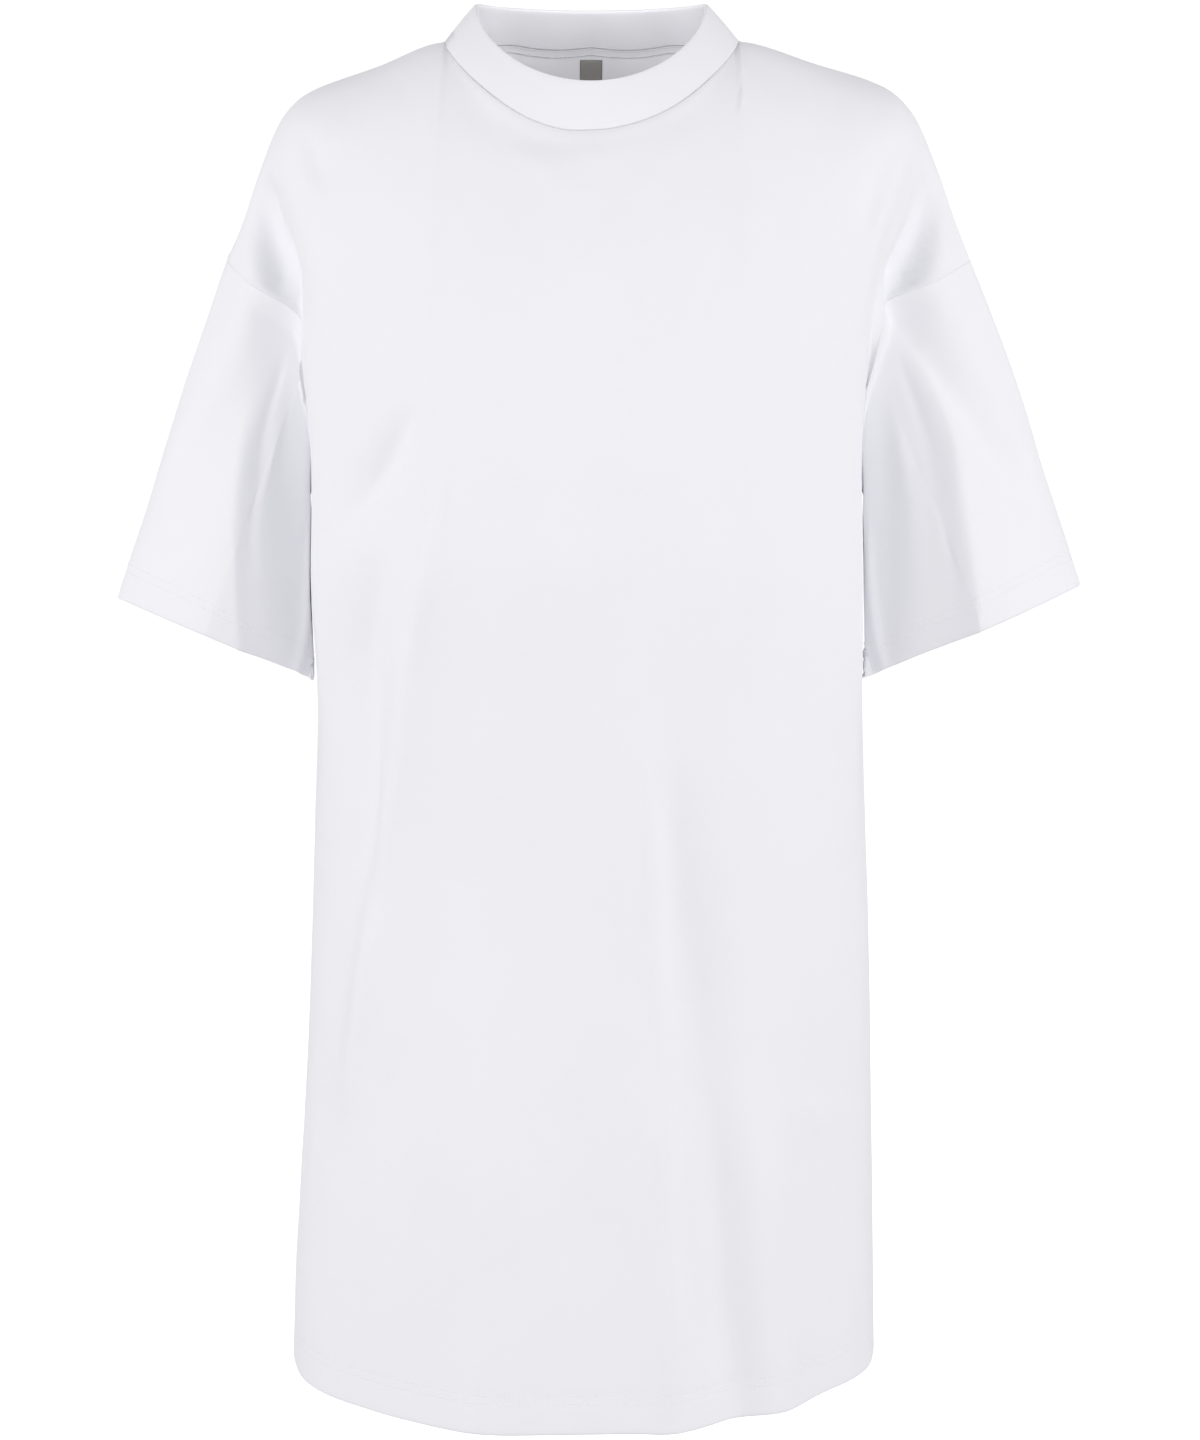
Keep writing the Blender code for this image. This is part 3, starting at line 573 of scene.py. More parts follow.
@dataclass
class DressForm:
    """The filled-out form that every piece of cloth lies on."""

    neck: Neckline = field(default_factory=Neckline)
    creases: tuple[Crease, ...] = LARGE_FOLDS + FINE_CREASES
    seam_y: float = 0.014  # where shoulder and side seams lie
    seam_fade: float = 0.030  # distance from them over which folds sink away
    width_low: float = 0.19  # width, width and depth of the egg that folds rise square to
    width_high: float = 0.40
    depth: float = 0.16
    widening: float = 0.14  # height above the underarm over which it widens
    turn_up_z: float = -0.15  # height from which directions turn up over the shoulders
    fall_step: float = 0.004  # drop over which the body's slope at the underarm is read
    swing_step: float = 0.002  # share across over which its direction is read
    section_steps: int = 361
    neck_limit: float = 0.9  # share of an arch that the neck hole never reaches
    neck_halvings: int = 30

    def ring(self, name: str, z: Array) -> Array:
        """One named size of the body's rings at a height."""
        rows = RINGS[::-1]
        return between([r.z for r in rows], [getattr(r, name) for r in rows], z)

    def station(self, name: str, across: Array) -> Array:
        """One named size of the shoulder stations at a share of the way across, the same on both sides."""
        knots = [s.across for s in STATIONS]
        return between(knots, [getattr(s, name) for s in STATIONS], np.abs(across), level_start=True)

    def section(self, face: Face, z: float, across: Array) -> Array:
        """Points of a panel's level section.

        Args:
            face: The panel.
            z: The height.
            across: Shares across it, from -1 to 1.

        Returns:
            One point for each share.
        """
        turn = np.linspace(0, math.pi / 2, self.section_steps)
        power = 2 / float(self.ring(face.word + "_square", z))
        width, side_y, reach = (float(self.ring(n, z)) for n in ("half_width", "side_y", face.word))
        half_x = width * np.sin(turn) ** power
        half_y = side_y + (face.value * reach - side_y) * np.cos(turn) ** power
        along = np.concatenate([[0], np.cumsum(np.hypot(np.diff(half_x), np.diff(half_y)))])
        at = np.abs(across) * along[-1]
        x = np.interp(at, along, half_x) * np.sign(across) + float(self.ring("sway", z))
        return np.stack([x, np.interp(at, along, half_y), np.full(len(x), z)], axis=1)

    def arch(self, face: Face, across: Array, t: Array) -> Array:
        """Points of the yoke, on arches from the shoulder ridge to the underarm ring.

        Args:
            face: The panel.
            across: Shares across it.
            t: The share of each arch.

        Returns:
            One point for each arch.
        """
        under, step, nudge = RINGS[0].z, self.fall_step, self.swing_step
        hand = np.where(across < 0, -1.0, 1.0)
        ring = self.section(face, under, across)
        fall = unit(self.section(face, under - step, across) - ring)
        inner = np.clip(np.abs(across) - nudge, 0, 1) * hand
        outer = inner + nudge * hand
        swing = unit(self.section(face, under, outer) - self.section(face, under, inner))
        shoulder_x = self.station("x", across) * hand + self.station("sway", across)
        shoulder_z = self.station(face.word + "_z", across) + self.station("tilt", across) * hand
        start = np.stack([shoulder_x, self.station("y", across), shoulder_z], axis=1)
        reach = self.station(face.word + "_reach", across)
        drawn_in = -hand * self.station(face.word + "_in", across) - self.station("drift", across)
        out = face.value * reach
        leave = np.stack([drawn_in, out, out * self.station("lean", across)], axis=1)
        arrive = self.station(face.word + "_fall", across)[:, None] * fall
        arrive = arrive + self.station(face.word + "_turn", across)[:, None] * swing
        return hermite(start, leave, ring, arrive, t)

    def neck_share(self, face: Face, across: Array) -> Array:
        """The share of each arch at which it leaves the neck hole, zero beyond the side neck points."""
        reach = self.neck.front if face is Face.FRONT else self.neck.back
        low, high = np.zeros(len(across)), np.full(len(across), self.neck_limit)
        for _ in range(self.neck_halvings):
            mid = (low + high) / 2
            p = self.arch(face, across, mid)
            inside = ((p[:, 0] - self.neck.sway) / self.neck.half_width) ** 2 + (p[:, 1] / reach) ** 2 < 1
            low, high = np.where(inside, mid, low), np.where(inside, high, mid)
        return np.where(np.abs(across) < self.neck.side_share - TINY, high, 0)

    def outward(self, points: Array) -> Array:
        """Directions away from the middle of the body, turning up over the shoulders."""
        x, y, z = (points[..., k] for k in range(3))
        width = self.width_low + (self.width_high - self.width_low) * smooth((z - RINGS[0].z) / self.widening)
        up = np.clip(z - self.turn_up_z, 0, None) / self.depth**2
        return unit(np.stack([x / width**2, y / self.depth**2, up], axis=-1))

    def crease_height(self, points: Array, creases: tuple[Crease, ...]) -> Array:
        """Heights that creases give to points of their panel, none at the seams between panels."""
        plan = points[..., [0, 2]]
        height = np.zeros(points.shape[:-1])
        for crease in creases:
            away, along, length = path_distance(plan, crease.path)
            inside = crease.face.value * (points[..., 1] - self.seam_y) / self.seam_fade
            fade = smooth(inside) * smooth(along / crease.end)
            if not crease.runs_out:
                fade = fade * smooth((length - along) / crease.end)
            spread = crease.spread * (1 - crease.lean * np.sign(away))
            height += crease.rise * fade * np.exp(-((away / spread) ** 2))
        return height

    def folded(self, points: Array) -> Array:
        """Points of the body, moved by its creases."""
        return points + self.crease_height(points, self.creases)[..., None] * self.outward(points)

    def armhole(self, hand: Hand, count: int) -> Array:
        """An armhole as a loop of points from the shoulder tip down the front and up the back."""
        tip = np.full(1, float(hand.value))
        shares = np.linspace(0, 1, count + 1)
        front = np.concatenate([self.arch(Face.FRONT, tip, s) for s in shares])
        back = np.concatenate([self.arch(Face.BACK, tip, s) for s in shares])
        return self.folded(np.concatenate([front, back[-2::-1]]))

    def body_side(self, hand: Hand, points: Array) -> Array:
        """How far the body's side reaches out at the depths and heights of points, under the arms."""
        z = np.clip(points[..., 2], RINGS[-1].z, RINGS[0].z)
        side_y = self.ring("side_y", z)
        forward = points[..., 1] < side_y
        reach = np.where(forward, -self.ring("front", z), self.ring("back", z)) - side_y
        power = np.where(forward, self.ring("front_square", z), self.ring("back_square", z))
        share = np.clip((points[..., 1] - side_y) / reach, 0, 1)
        width = self.ring("half_width", z) * (1 - share**power) ** (1 / power)
        return width + hand.value * self.ring("sway", z)

    def neck_loop(self, count: int) -> Array:
        """The neck seam as a closed loop, from the left side neck point along the front and back."""
        across = np.linspace(-self.neck.side_share, self.neck.side_share, count + 1)
        front = self.arch(Face.FRONT, across, self.neck_share(Face.FRONT, across))
        back = self.arch(Face.BACK, across, self.neck_share(Face.BACK, across))
        return self.folded(np.concatenate([front, back[-2::-1]]))


# ---------------------------------------------------------------- cloth grids


@dataclass
class ClothGrid:
    """A grid of points on the outer face of a piece of cloth.

    Rows run from the top edge down, and each row from left to right as seen from outside.
    """

    points: Array
    closed: bool = False  # whether the last column lies on the first

    def normals(self) -> Array:
        """Directions out of the cloth at each point."""
        down = np.gradient(self.points, axis=0)
        around = np.gradient(self.points, axis=1)
        if self.closed:
            p = self.points[:, :-1]
            ring = (np.roll(p, -1, axis=1) - np.roll(p, 1, axis=1)) / 2
            around = np.concatenate([ring, ring[:, :1]], axis=1)
        return unit(np.cross(down, around))

    def raised(self, height: Array) -> "ClothGrid":
        """The grid moved out by a height at each point."""
        return ClothGrid(self.points + height[..., None] * self.normals(), self.closed)

    def down_lengths(self) -> Array:
        """Length of cloth from the first row to each point."""
        steps = np.linalg.norm(np.diff(self.points, axis=0), axis=-1)
        return np.concatenate([np.zeros((1, steps.shape[1])), np.cumsum(steps, axis=0)])

    def across_lengths(self) -> Array:
        """Length of cloth from the first column to each point."""
        steps = np.linalg.norm(np.diff(self.points, axis=1), axis=-1)
        return np.concatenate([np.zeros((steps.shape[0], 1)), np.cumsum(steps, axis=1)], axis=1)

    def turned_in(self, depth: float, steps: int = 5) -> "ClothGrid":
        """The grid carried round its last row and back up its inner side.

        Args:
            depth: Length of cloth turned in.
            steps: Rows on the turn itself.

        Returns:
            The longer grid.
        """
        normals = self.normals()
        edge, out = self.points[-1], normals[-1]
        down = unit(edge - self.points[-2])
        centre = edge - FOLD_RADIUS * out
        angles = [math.pi * k / steps for k in range(1, steps + 1)]
        turn = [centre + FOLD_RADIUS * (out * math.cos(a) + down * math.sin(a)) for a in angles]
        lengths = self.down_lengths().mean(axis=1)
        inner_rows = np.flatnonzero(lengths[-1] - lengths <= depth + MERGE)[-2::-1]
        inner = self.points - 2 * FOLD_RADIUS * normals
        return ClothGrid(np.concatenate([self.points, np.stack(turn), inner[inner_rows]]), self.closed)

    def flipped(self) -> "ClothGrid":
        """The grid with its rows and columns both the other way, so that it still faces out."""
        return ClothGrid(self.points[::-1, ::-1], self.closed)

    def line(self, row: float) -> tuple[Array, Array]:
        """A row's points and outward directions, also between rows."""
        low = int(row)
        share = row - low
        normals = self.normals()
        points = self.points[low] * (1 - share) + self.points[low + 1] * share
        return points, unit(normals[low] * (1 - share) + normals[low + 1] * share)


def near_edge(distances: Array, depth: float, reach: float) -> Array:
    """How far cloth sinks beside a seam, at distances from it."""
    return -depth * np.exp(-((distances / reach) ** 2))


class ClothMaker:
    """Turns cloth grids into finished pieces of the dress."""

    def __init__(self) -> None:
        """Starts with a collection for the pieces."""
        self.collection = bpy.data.collections.new("t_shirt_dress_looks")
        bpy.context.scene.collection.children.link(self.collection)

    def cloth(self, name: str, grid: ClothGrid, wall: float, material: Material) -> bpy.types.Object:
        """Makes a piece of cloth from a grid.

        Args:
            name: The piece's name.
            grid: Points of its outer face.
            wall: Its thickness, inward of them.
            material: Its finish.

        Returns:
            The piece.
        """
        count, across = grid.points.shape[0] - 1, grid.points.shape[1] - 1
        shape = bmesh.new()
        bmesh.ops.create_grid(shape, x_segments=across, y_segments=count, size=0.5)
        flat = shape.loops.layers.uv.new("flat")
        widths = grid.across_lengths()
        mean_across = widths.mean(axis=0)
        widths = widths - widths[:, [across // 2]]
        lengths = grid.down_lengths()
        lengths = lengths[-1].mean() - lengths
        places = {}
        for vert in shape.verts:
            column = round((vert.co.x + 0.5) * across)
            row = round((0.5 - vert.co.y) * count)
            vert.co = grid.points[row, column]
            u = mean_across[column] if grid.closed else widths[row, column]
            places[vert] = (u, lengths[row, column])
        for face in shape.faces:
            for loop in face.loops:
                loop[flat].uv = places[loop.vert]
        if grid.closed:
            bmesh.ops.remove_doubles(shape, verts=shape.verts, dist=MERGE)
        obj = self.piece(name, shape, material)
        solid = obj.modifiers.new("wall", "SOLIDIFY")
        solid.thickness = wall
        solid.offset = -1
        return obj

    def piece(self, name: str, shape: bmesh.types.BMesh, material: Material) -> bpy.types.Object:
        """Makes an object of a finished bmesh, which it frees."""
        mesh = bpy.data.meshes.new(name)
        shape.to_mesh(mesh)
        shape.free()
        mesh.materials.append(material)
        mesh.shade_smooth()
        obj = bpy.data.objects.new(name, mesh)
        self.collection.objects.link(obj)
        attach(obj, ROOT)
        return obj


# ---------------------------------------------------------------- finishes


def link_math(tree: bpy.types.NodeTree, operation: str, first, second=None) -> bpy.types.NodeSocket:
    """Adds a math node to a tree.

    Args:
        tree: The node tree.
        operation: The math node's operation.
        first: Its first value, a socket or a number.
        second: Its second value, if it takes one.

    Returns:
        The node's output.
    """
    node = tree.nodes.new("ShaderNodeMath")
    node.operation = operation
    for place, value in enumerate((first, second)):
        if isinstance(value, (int, float)):
            node.inputs[place].default_value = value
        elif value is not None:
            tree.links.new(value, node.inputs[place])
    return node.outputs[0]


class ShaderGroup:
    """A shader node group with named inputs and outputs."""

    def __init__(
        self, name: str, inputs: dict[str, tuple[str, float | None]], outputs: dict[str, str]
    ) -> None:
        """Makes the group's sockets.

        Args:
            name: The group's name.
            inputs: Socket type and default of each input.
            outputs: Socket type of each output.
        """
        self.tree = bpy.data.node_groups.new(name, "ShaderNodeTree")
        for label, (kind, value) in inputs.items():
            socket = self.tree.interface.new_socket(label, in_out="INPUT", socket_type=kind)
            if value is not None:
                socket.default_value = value
        for label, kind in outputs.items():
            self.tree.interface.new_socket(label, in_out="OUTPUT", socket_type=kind)
        self.start = self.tree.nodes.new("NodeGroupInput")
        self.end = self.tree.nodes.new("NodeGroupOutput")

    def math(self, operation: str, first, second=None) -> bpy.types.NodeSocket:
        """Adds a math node and gives its output."""
        return link_math(self.tree, operation, first, second)

    def give(self, label: str, socket: bpy.types.NodeSocket) -> None:
        """Sends a socket to a named output."""
        self.tree.links.new(socket, self.end.inputs[label])


def knit_group() -> bpy.types.NodeTree:
    """Plain jersey seen from its face: upright wales, each a column of small Vs."""
    group = ShaderGroup(
        "knit_wales",
        {
            "Flat": ("NodeSocketVector", None),
            "Wales per metre": ("NodeSocketFloat", 1150.0),
            "Courses per metre": ("NodeSocketFloat", 1500.0),
            "Rib": ("NodeSocketFloat", 0.0),
        },
        {"Height": "NodeSocketFloat"},
    )
    split = group.tree.nodes.new("ShaderNodeSeparateXYZ")
    group.tree.links.new(group.start.outputs["Flat"], split.inputs[0])
    wale = group.math("MULTIPLY", split.outputs["X"], group.start.outputs["Wales per metre"])
    course = group.math("MULTIPLY", split.outputs["Y"], group.start.outputs["Courses per metre"])
    leg = group.math("ABSOLUTE", group.math("SUBTRACT", group.math("FRACT", wale), 0.5))
    slant = group.math("SUBTRACT", course, group.math("MULTIPLY", leg, 2.0))
    loops = group.math("MULTIPLY", group.math("SINE", group.math("MULTIPLY", slant, 2 * math.pi)), 0.30)
    half = group.math("FRACT", group.math("MULTIPLY", wale, 2.0))
    legs = group.math("SINE", group.math("MULTIPLY", half, math.pi))
    plain = group.math("MULTIPLY", legs, group.math("ADD", loops, 0.70))
    rib_wave = group.math("SINE", group.math("MULTIPLY", wale, math.pi))
    ribbed = group.math("MULTIPLY", group.math("ABSOLUTE", rib_wave), group.start.outputs["Rib"])
    group.give("Height", group.math("ADD", plain, ribbed))
    return group.tree


def mottle_group() -> bpy.types.NodeTree:
    """Uneven tone of the yarn: slow clouds and fine flecks, as a factor close to one."""
    group = ShaderGroup(
        "yarn_mottle",
        {
            "Place": ("NodeSocketVector", None),
            "Cloud size": ("NodeSocketFloat", 0.05),
            "Fleck size": ("NodeSocketFloat", 0.002),
            "Strength": ("NodeSocketFloat", 0.02),
        },
        {"Factor": "NodeSocketFloat"},
    )
    total = None
    for label, detail, weight in (("Cloud size", 3.0, 0.6), ("Fleck size", 1.0, 0.4)):
        cloud = group.tree.nodes.new("ShaderNodeTexNoise")
        cloud.inputs["Detail"].default_value = detail
        group.tree.links.new(group.start.outputs["Place"], cloud.inputs["Vector"])
        scale = group.math("DIVIDE", 1.0, group.start.outputs[label])
        group.tree.links.new(scale, cloud.inputs["Scale"])
        centred = group.math("SUBTRACT", cloud.outputs["Fac"], 0.5)
        part = group.math("MULTIPLY", centred, weight)
        total = part if total is None else group.math("ADD", total, part)
    swing = group.math("MULTIPLY", total, group.start.outputs["Strength"])
    group.give("Factor", group.math("ADD", swing, 1.0))
    return group.tree


def yarn_material(
    name: str, colour: Colour, constants: dict[str, float], mottle: bpy.types.NodeTree, strength: float
) -> Material:
    """Makes a material of yarn, a little uneven in tone.

    Args:
        name: Its name.
        colour: Its mean colour.
        constants: Values of the surface's sockets.
        mottle: The group for the yarn's tone.
        strength: How uneven the tone is.

    Returns:
        The material.
    """
    material = bpy.data.materials.new(name)
    material.use_nodes = True
    tree = material.node_tree
    surface = tree.nodes["Principled BSDF"]
    for socket, value in constants.items():
        surface.inputs[socket].default_value = value
    place = tree.nodes.new("ShaderNodeTexCoord")
    cloud = tree.nodes.new("ShaderNodeGroup")
    cloud.node_tree = mottle
    cloud.inputs["Strength"].default_value = strength
    tree.links.new(place.outputs["Object"], cloud.inputs["Place"])
    tint = tree.nodes.new("ShaderNodeMix")
    tint.data_type = "RGBA"
    tint.blend_type = "MULTIPLY"
    tint.inputs["Factor"].default_value = 1.0
    tint.inputs["A"].default_value = (*colour, 1)
    tree.links.new(cloud.outputs["Factor"], tint.inputs["B"])
    tree.links.new(tint.outputs["Result"], surface.inputs["Base Color"])
    return material


@dataclass(frozen=True)
class JerseyFinish:
    """Matt cotton jersey."""

    name: str
    colour: Colour
    roughness: float = 0.92
    specular: float = 0.2
    sheen: float = 0.10
    sheen_roughness: float = 0.6
    wales: float = 1150.0
    courses: float = 1500.0
    rib: float = 0.0
    bump: float = 0.25
    relief: float = 0.00012
    mottle: float = 0.03

    def material(self, knit: bpy.types.NodeTree, mottle: bpy.types.NodeTree) -> Material:
        """Makes the material.

        Args:
            knit: The group for the wales.
            mottle: The group for the yarn's tone.

        Returns:
            The material.
        """
        constants = {
            "Roughness": self.roughness,
            "Specular IOR Level": self.specular,
            "Sheen Weight": self.sheen,
            "Sheen Roughness": self.sheen_roughness,
        }
        material = yarn_material(self.name, self.colour, constants, mottle, self.mottle)
        tree = material.node_tree
        flat = tree.nodes.new("ShaderNodeUVMap")
        flat.uv_map = "flat"
        wales = tree.nodes.new("ShaderNodeGroup")
        wales.node_tree = knit
        wales.inputs["Wales per metre"].default_value = self.wales
        wales.inputs["Courses per metre"].default_value = self.courses
        wales.inputs["Rib"].default_value = self.rib
        tree.links.new(flat.outputs["UV"], wales.inputs["Flat"])
        bump = tree.nodes.new("ShaderNodeBump")
        bump.inputs["Strength"].default_value = self.bump
        bump.inputs["Distance"].default_value = self.relief
        tree.links.new(wales.outputs["Height"], bump.inputs["Height"])
        tree.links.new(bump.outputs["Normal"], tree.nodes["Principled BSDF"].inputs["Normal"])
        return material


@dataclass(frozen=True)
class ThreadFinish:
    """Spun sewing thread."""

    name: str
    colour: Colour
    roughness: float = 0.7
    specular: float = 0.3
    mottle: float = 0.06

    def material(self, mottle: bpy.types.NodeTree) -> Material:
        """Makes the material, with a group for the yarn's tone."""
        constants = {"Roughness": self.roughness, "Specular IOR Level": self.specular}
        return yarn_material(self.name, self.colour, constants, mottle, self.mottle)


# ---------------------------------------------------------------- the pieces


@dataclass(frozen=True)
class SeamRidge:
    """The low ridge that a seam allowance lifts under the cloth on both sides of a seam."""

    rise: float = 0.0006
    reach: float = 0.0018

    def height(self, distances: Array) -> Array:
        """How far cloth is lifted at distances from the seam."""
        return self.rise * np.exp(-((distances / self.reach) ** 2))


@dataclass(frozen=True)
class HemStitch:
    """Rows of machine stitches that hold a turned hem."""

    heights: tuple[float, ...]  # above the hem's edge
    pitch: float = 0.0031
    length: float = 0.0025
    width: float = 0.0006
    thickness: float = 0.0004
    dent: float = 0.00025  # how far they draw the cloth in
    reach: float = 0.0012

    def dents(self, distances: Array) -> Array:
        """How far cloth is drawn in at distances from its edge."""
        return sum(near_edge(distances - height, self.dent, self.reach) for height in self.heights)

    def sew(self, maker: ClothMaker, name: str, grid: ClothGrid, thread: Material) -> bpy.types.Object:
        """Makes all the rows as one piece on a grid's outer face."""
        remaining = grid.down_lengths()
        remaining = (remaining[-1] - remaining).mean(axis=1)[::-1]
        rows = np.arange(len(remaining))[::-1]
        lines = [grid.line(float(np.interp(h, remaining, rows))) for h in self.heights]
        return self.run(maker, name, lines, thread)

    def run(self, maker: ClothMaker, name: str, lines: list, thread: Material) -> bpy.types.Object:
        """Makes stitches along lines.

        Args:
            maker: The maker of pieces.
            name: The piece's name.
            lines: For each row its points and the outward direction at each.
            thread: The thread's finish.

        Returns:
            The piece.
        """
        shape = bmesh.new()
        size = Matrix.Diagonal((self.length, self.width, self.thickness, 1))
        for points, normals in lines:
            along = np.concatenate([[0], np.cumsum(np.linalg.norm(np.diff(points, axis=0), axis=1))])
            for at in np.arange(self.pitch, along[-1] - self.pitch / 2, self.pitch):
                place, out, ahead = (
                    Vector([float(np.interp(t, along, values[:, k])) for k in range(3)])
                    for t, values in ((at, points), (at, normals), (at + self.pitch / 4, points))
                )
                forward = (ahead - place).normalized()
                side = out.cross(forward).normalized()
                turn = Matrix((forward, side, forward.cross(side))).transposed().to_4x4()
                matrix = Matrix.Translation(place) @ turn @ size
                bmesh.ops.create_icosphere(shape, subdivisions=1, radius=0.5, matrix=matrix)
        obj = maker.piece(name, shape, thread)
        return obj


@dataclass
class BodyPanel:
    """The front or the back, with its hem turned up."""

    form: DressForm
    face: Face
    columns: int = 144
    yoke_rows: int = 78
    body_rows: int = 148
    hem_depth: float = 0.024
    hem_rows: int = 10
    ditch: float = 0.00015  # how far the cloth sinks into its seams
    ditch_reach: float = 0.0007
    hem: HemStitch = field(default_factory=lambda: HemStitch((0.0235, 0.0185)))
    hem_gap: float = 0.002  # between the even rows and the close ones of the hem
    spare_column: float = 0.3  # share of a column kept free beside the close ones
    spare_row: float = 0.4
    armhole: SeamRidge = field(default_factory=SeamRidge)
    armhole_start: float = 0.025  # length over which its ridge starts below the shoulder tip
    armhole_blend: float = 0.02  # height above the underarm over which it takes over from the ditch
    recess_edge: float = 0.007  # distance from the armhole over which the recess creases sink away
    neck_roll: float = 0.0014  # height of the soft roll below the collar
    neck_roll_drop: float = 0.005
    neck_roll_spread: float = 0.006
    neck_roll_fade: float = 0.12  # share across over which it sinks away beside the side neck points
    neck_roll_start: float = 0.002
    quiet: float = 0.02  # distance from the seams over which the waves start
    waves: tuple[Waves, ...] = (Waves(0.0013, 0.050, 0.160, 3.1), Waves(0.0006, 0.022, 0.060, 8.7))
    half_girth: float = 0.27
    arch_length: float = 0.31
    binding_top: float = 0.0008  # of the seam allowance inside, below the neck seam
    binding_height: float = 0.0075
    binding_rows: int = 8
    binding_wall: float = 0.0009
    binding_gap: float = 0.0002
    binding_stitch: HemStitch = field(default_factory=lambda: HemStitch((), pitch=0.0026, length=0.0022))
    binding_inset: float = 0.6  # rows between its edges and its stitches

    def across(self) -> Array:
        """Shares across the panel, close together beside its seams and with one on each side neck point."""
        even = np.linspace(-1, 1, self.columns + 1)[1:-1]
        close = [d / self.half_girth for d in EDGE_STEPS]
        edge = np.array([1 - d for d in close if 1 - d > even[-1] + self.spare_column / self.columns])
        return np.concatenate([[-1], np.sort(-edge), even, np.sort(edge), [1]])

    def grid(self) -> ClothGrid:
        """The outer face from the shoulders down to the turn of the hem."""
        across = self.across()
        first = self.form.neck_share(self.face, across)
        close = [d / self.arch_length for d in EDGE_STEPS]
        even = np.linspace(0, 1, self.yoke_rows + 1)[1:]
        shares = np.concatenate([[0], close, even[even > close[-1] + self.spare_row / self.yoke_rows]])
        top = [self.form.arch(self.face, across, first + (1 - first) * s) for s in shares]
        hem = RINGS[-1].z
        line = hem + self.hem_depth
        heights = np.linspace(RINGS[0].z, line + self.hem_gap, self.body_rows + 1)[1:]
        hem_heights = np.linspace(line, hem + FOLD_RADIUS, self.hem_rows)
        below = [self.form.section(self.face, z, across) for z in (*heights, *hem_heights)]
        points = self.form.folded(np.stack(top + below))
        if self.face is Face.BACK:
            points = points[:, ::-1]
        grid = ClothGrid(points)
        return grid.raised(self.relief(grid, across))

    def relief(self, grid: ClothGrid, across: Array) -> Array:
        """Small heights of the outer face.

        Args:
            grid: The outer face without them.
            across: Shares across the panel, one for each column.

        Returns:
            The heights of ditches and ridges at the seams, the roll below the collar, waves and stitches.
        """
        down = grid.down_lengths()
        along = grid.across_lengths()
        side = np.minimum(along, along[:, -1:] - along)
        at_armhole = smooth((grid.points[..., 2] - RINGS[0].z) / self.armhole_blend)
        sunk = near_edge(side, self.ditch, self.ditch_reach) * (1 - at_armhole)
        raised = self.armhole.height(side) * at_armhole * smooth(down / self.armhole_start)
        ditch = near_edge(down, self.ditch, self.ditch_reach) + sunk + raised
        neck = smooth((self.form.neck.side_share - np.abs(across)) / self.neck_roll_fade)
        roll = self.neck_roll * np.exp(-(((down - self.neck_roll_drop) / self.neck_roll_spread) ** 2))
        quiet = smooth(side / self.quiet) * smooth(down / self.quiet)
        waves = sum(wave.heights(grid.points) for wave in self.waves)
        drawn = self.hem.dents(down[-1:] - down)
        drawn = drawn + self.form.crease_height(grid.points, RECESS_CREASES) * smooth(side / self.recess_edge)
        roll = roll * neck[None, :] * smooth(down / self.neck_roll_start)
        return ditch + roll + waves * quiet + drawn

    def build(self, maker: ClothMaker, material: Material, thread: Material) -> list:
        grid = self.grid()
        obj = maker.cloth(f"{self.face.word}_panel", grid.turned_in(self.hem_depth), PLY, material)
        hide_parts(self.face.word)
        return [obj, self.hem.sew(maker, f"{self.face.word}_hem_stitches", grid, thread)]

    def neck_binding(self, maker: ClothMaker, material: Material, thread: Material) -> list:
        """Makes the seam allowance that lies inside below the collar, and its stitches."""
        grid = self.grid()
        inside = np.flatnonzero(np.abs(self.across()) <= self.form.neck.side_share + TINY)
        if self.face is Face.BACK:
            inside = len(self.across()) - 1 - inside[::-1]
        heights = np.linspace(self.binding_top, self.binding_top + self.binding_height, self.binding_rows)
        lengths, normals = grid.down_lengths(), grid.normals()
        lift = PLY + self.binding_wall + self.binding_gap
        rows = np.empty((len(heights), len(inside), 3))
        for place, column in enumerate(inside[::-1]):
            for k in range(3):
                at = np.interp(heights, lengths[:, column], grid.points[:, column, k])
                rows[:, place, k] = at - lift * np.interp(heights, lengths[:, column], normals[:, column, k])
        inner = ClothGrid(rows)
        obj = maker.cloth(f"{self.face.word}_neck_allowance", inner, self.binding_wall, material)
        lines = [inner.line(row) for row in (self.binding_inset, self.binding_rows - 1 - self.binding_inset)]
        return [obj, self.binding_stitch.run(maker, f"{self.face.word}_neck_stitches", lines, thread)]


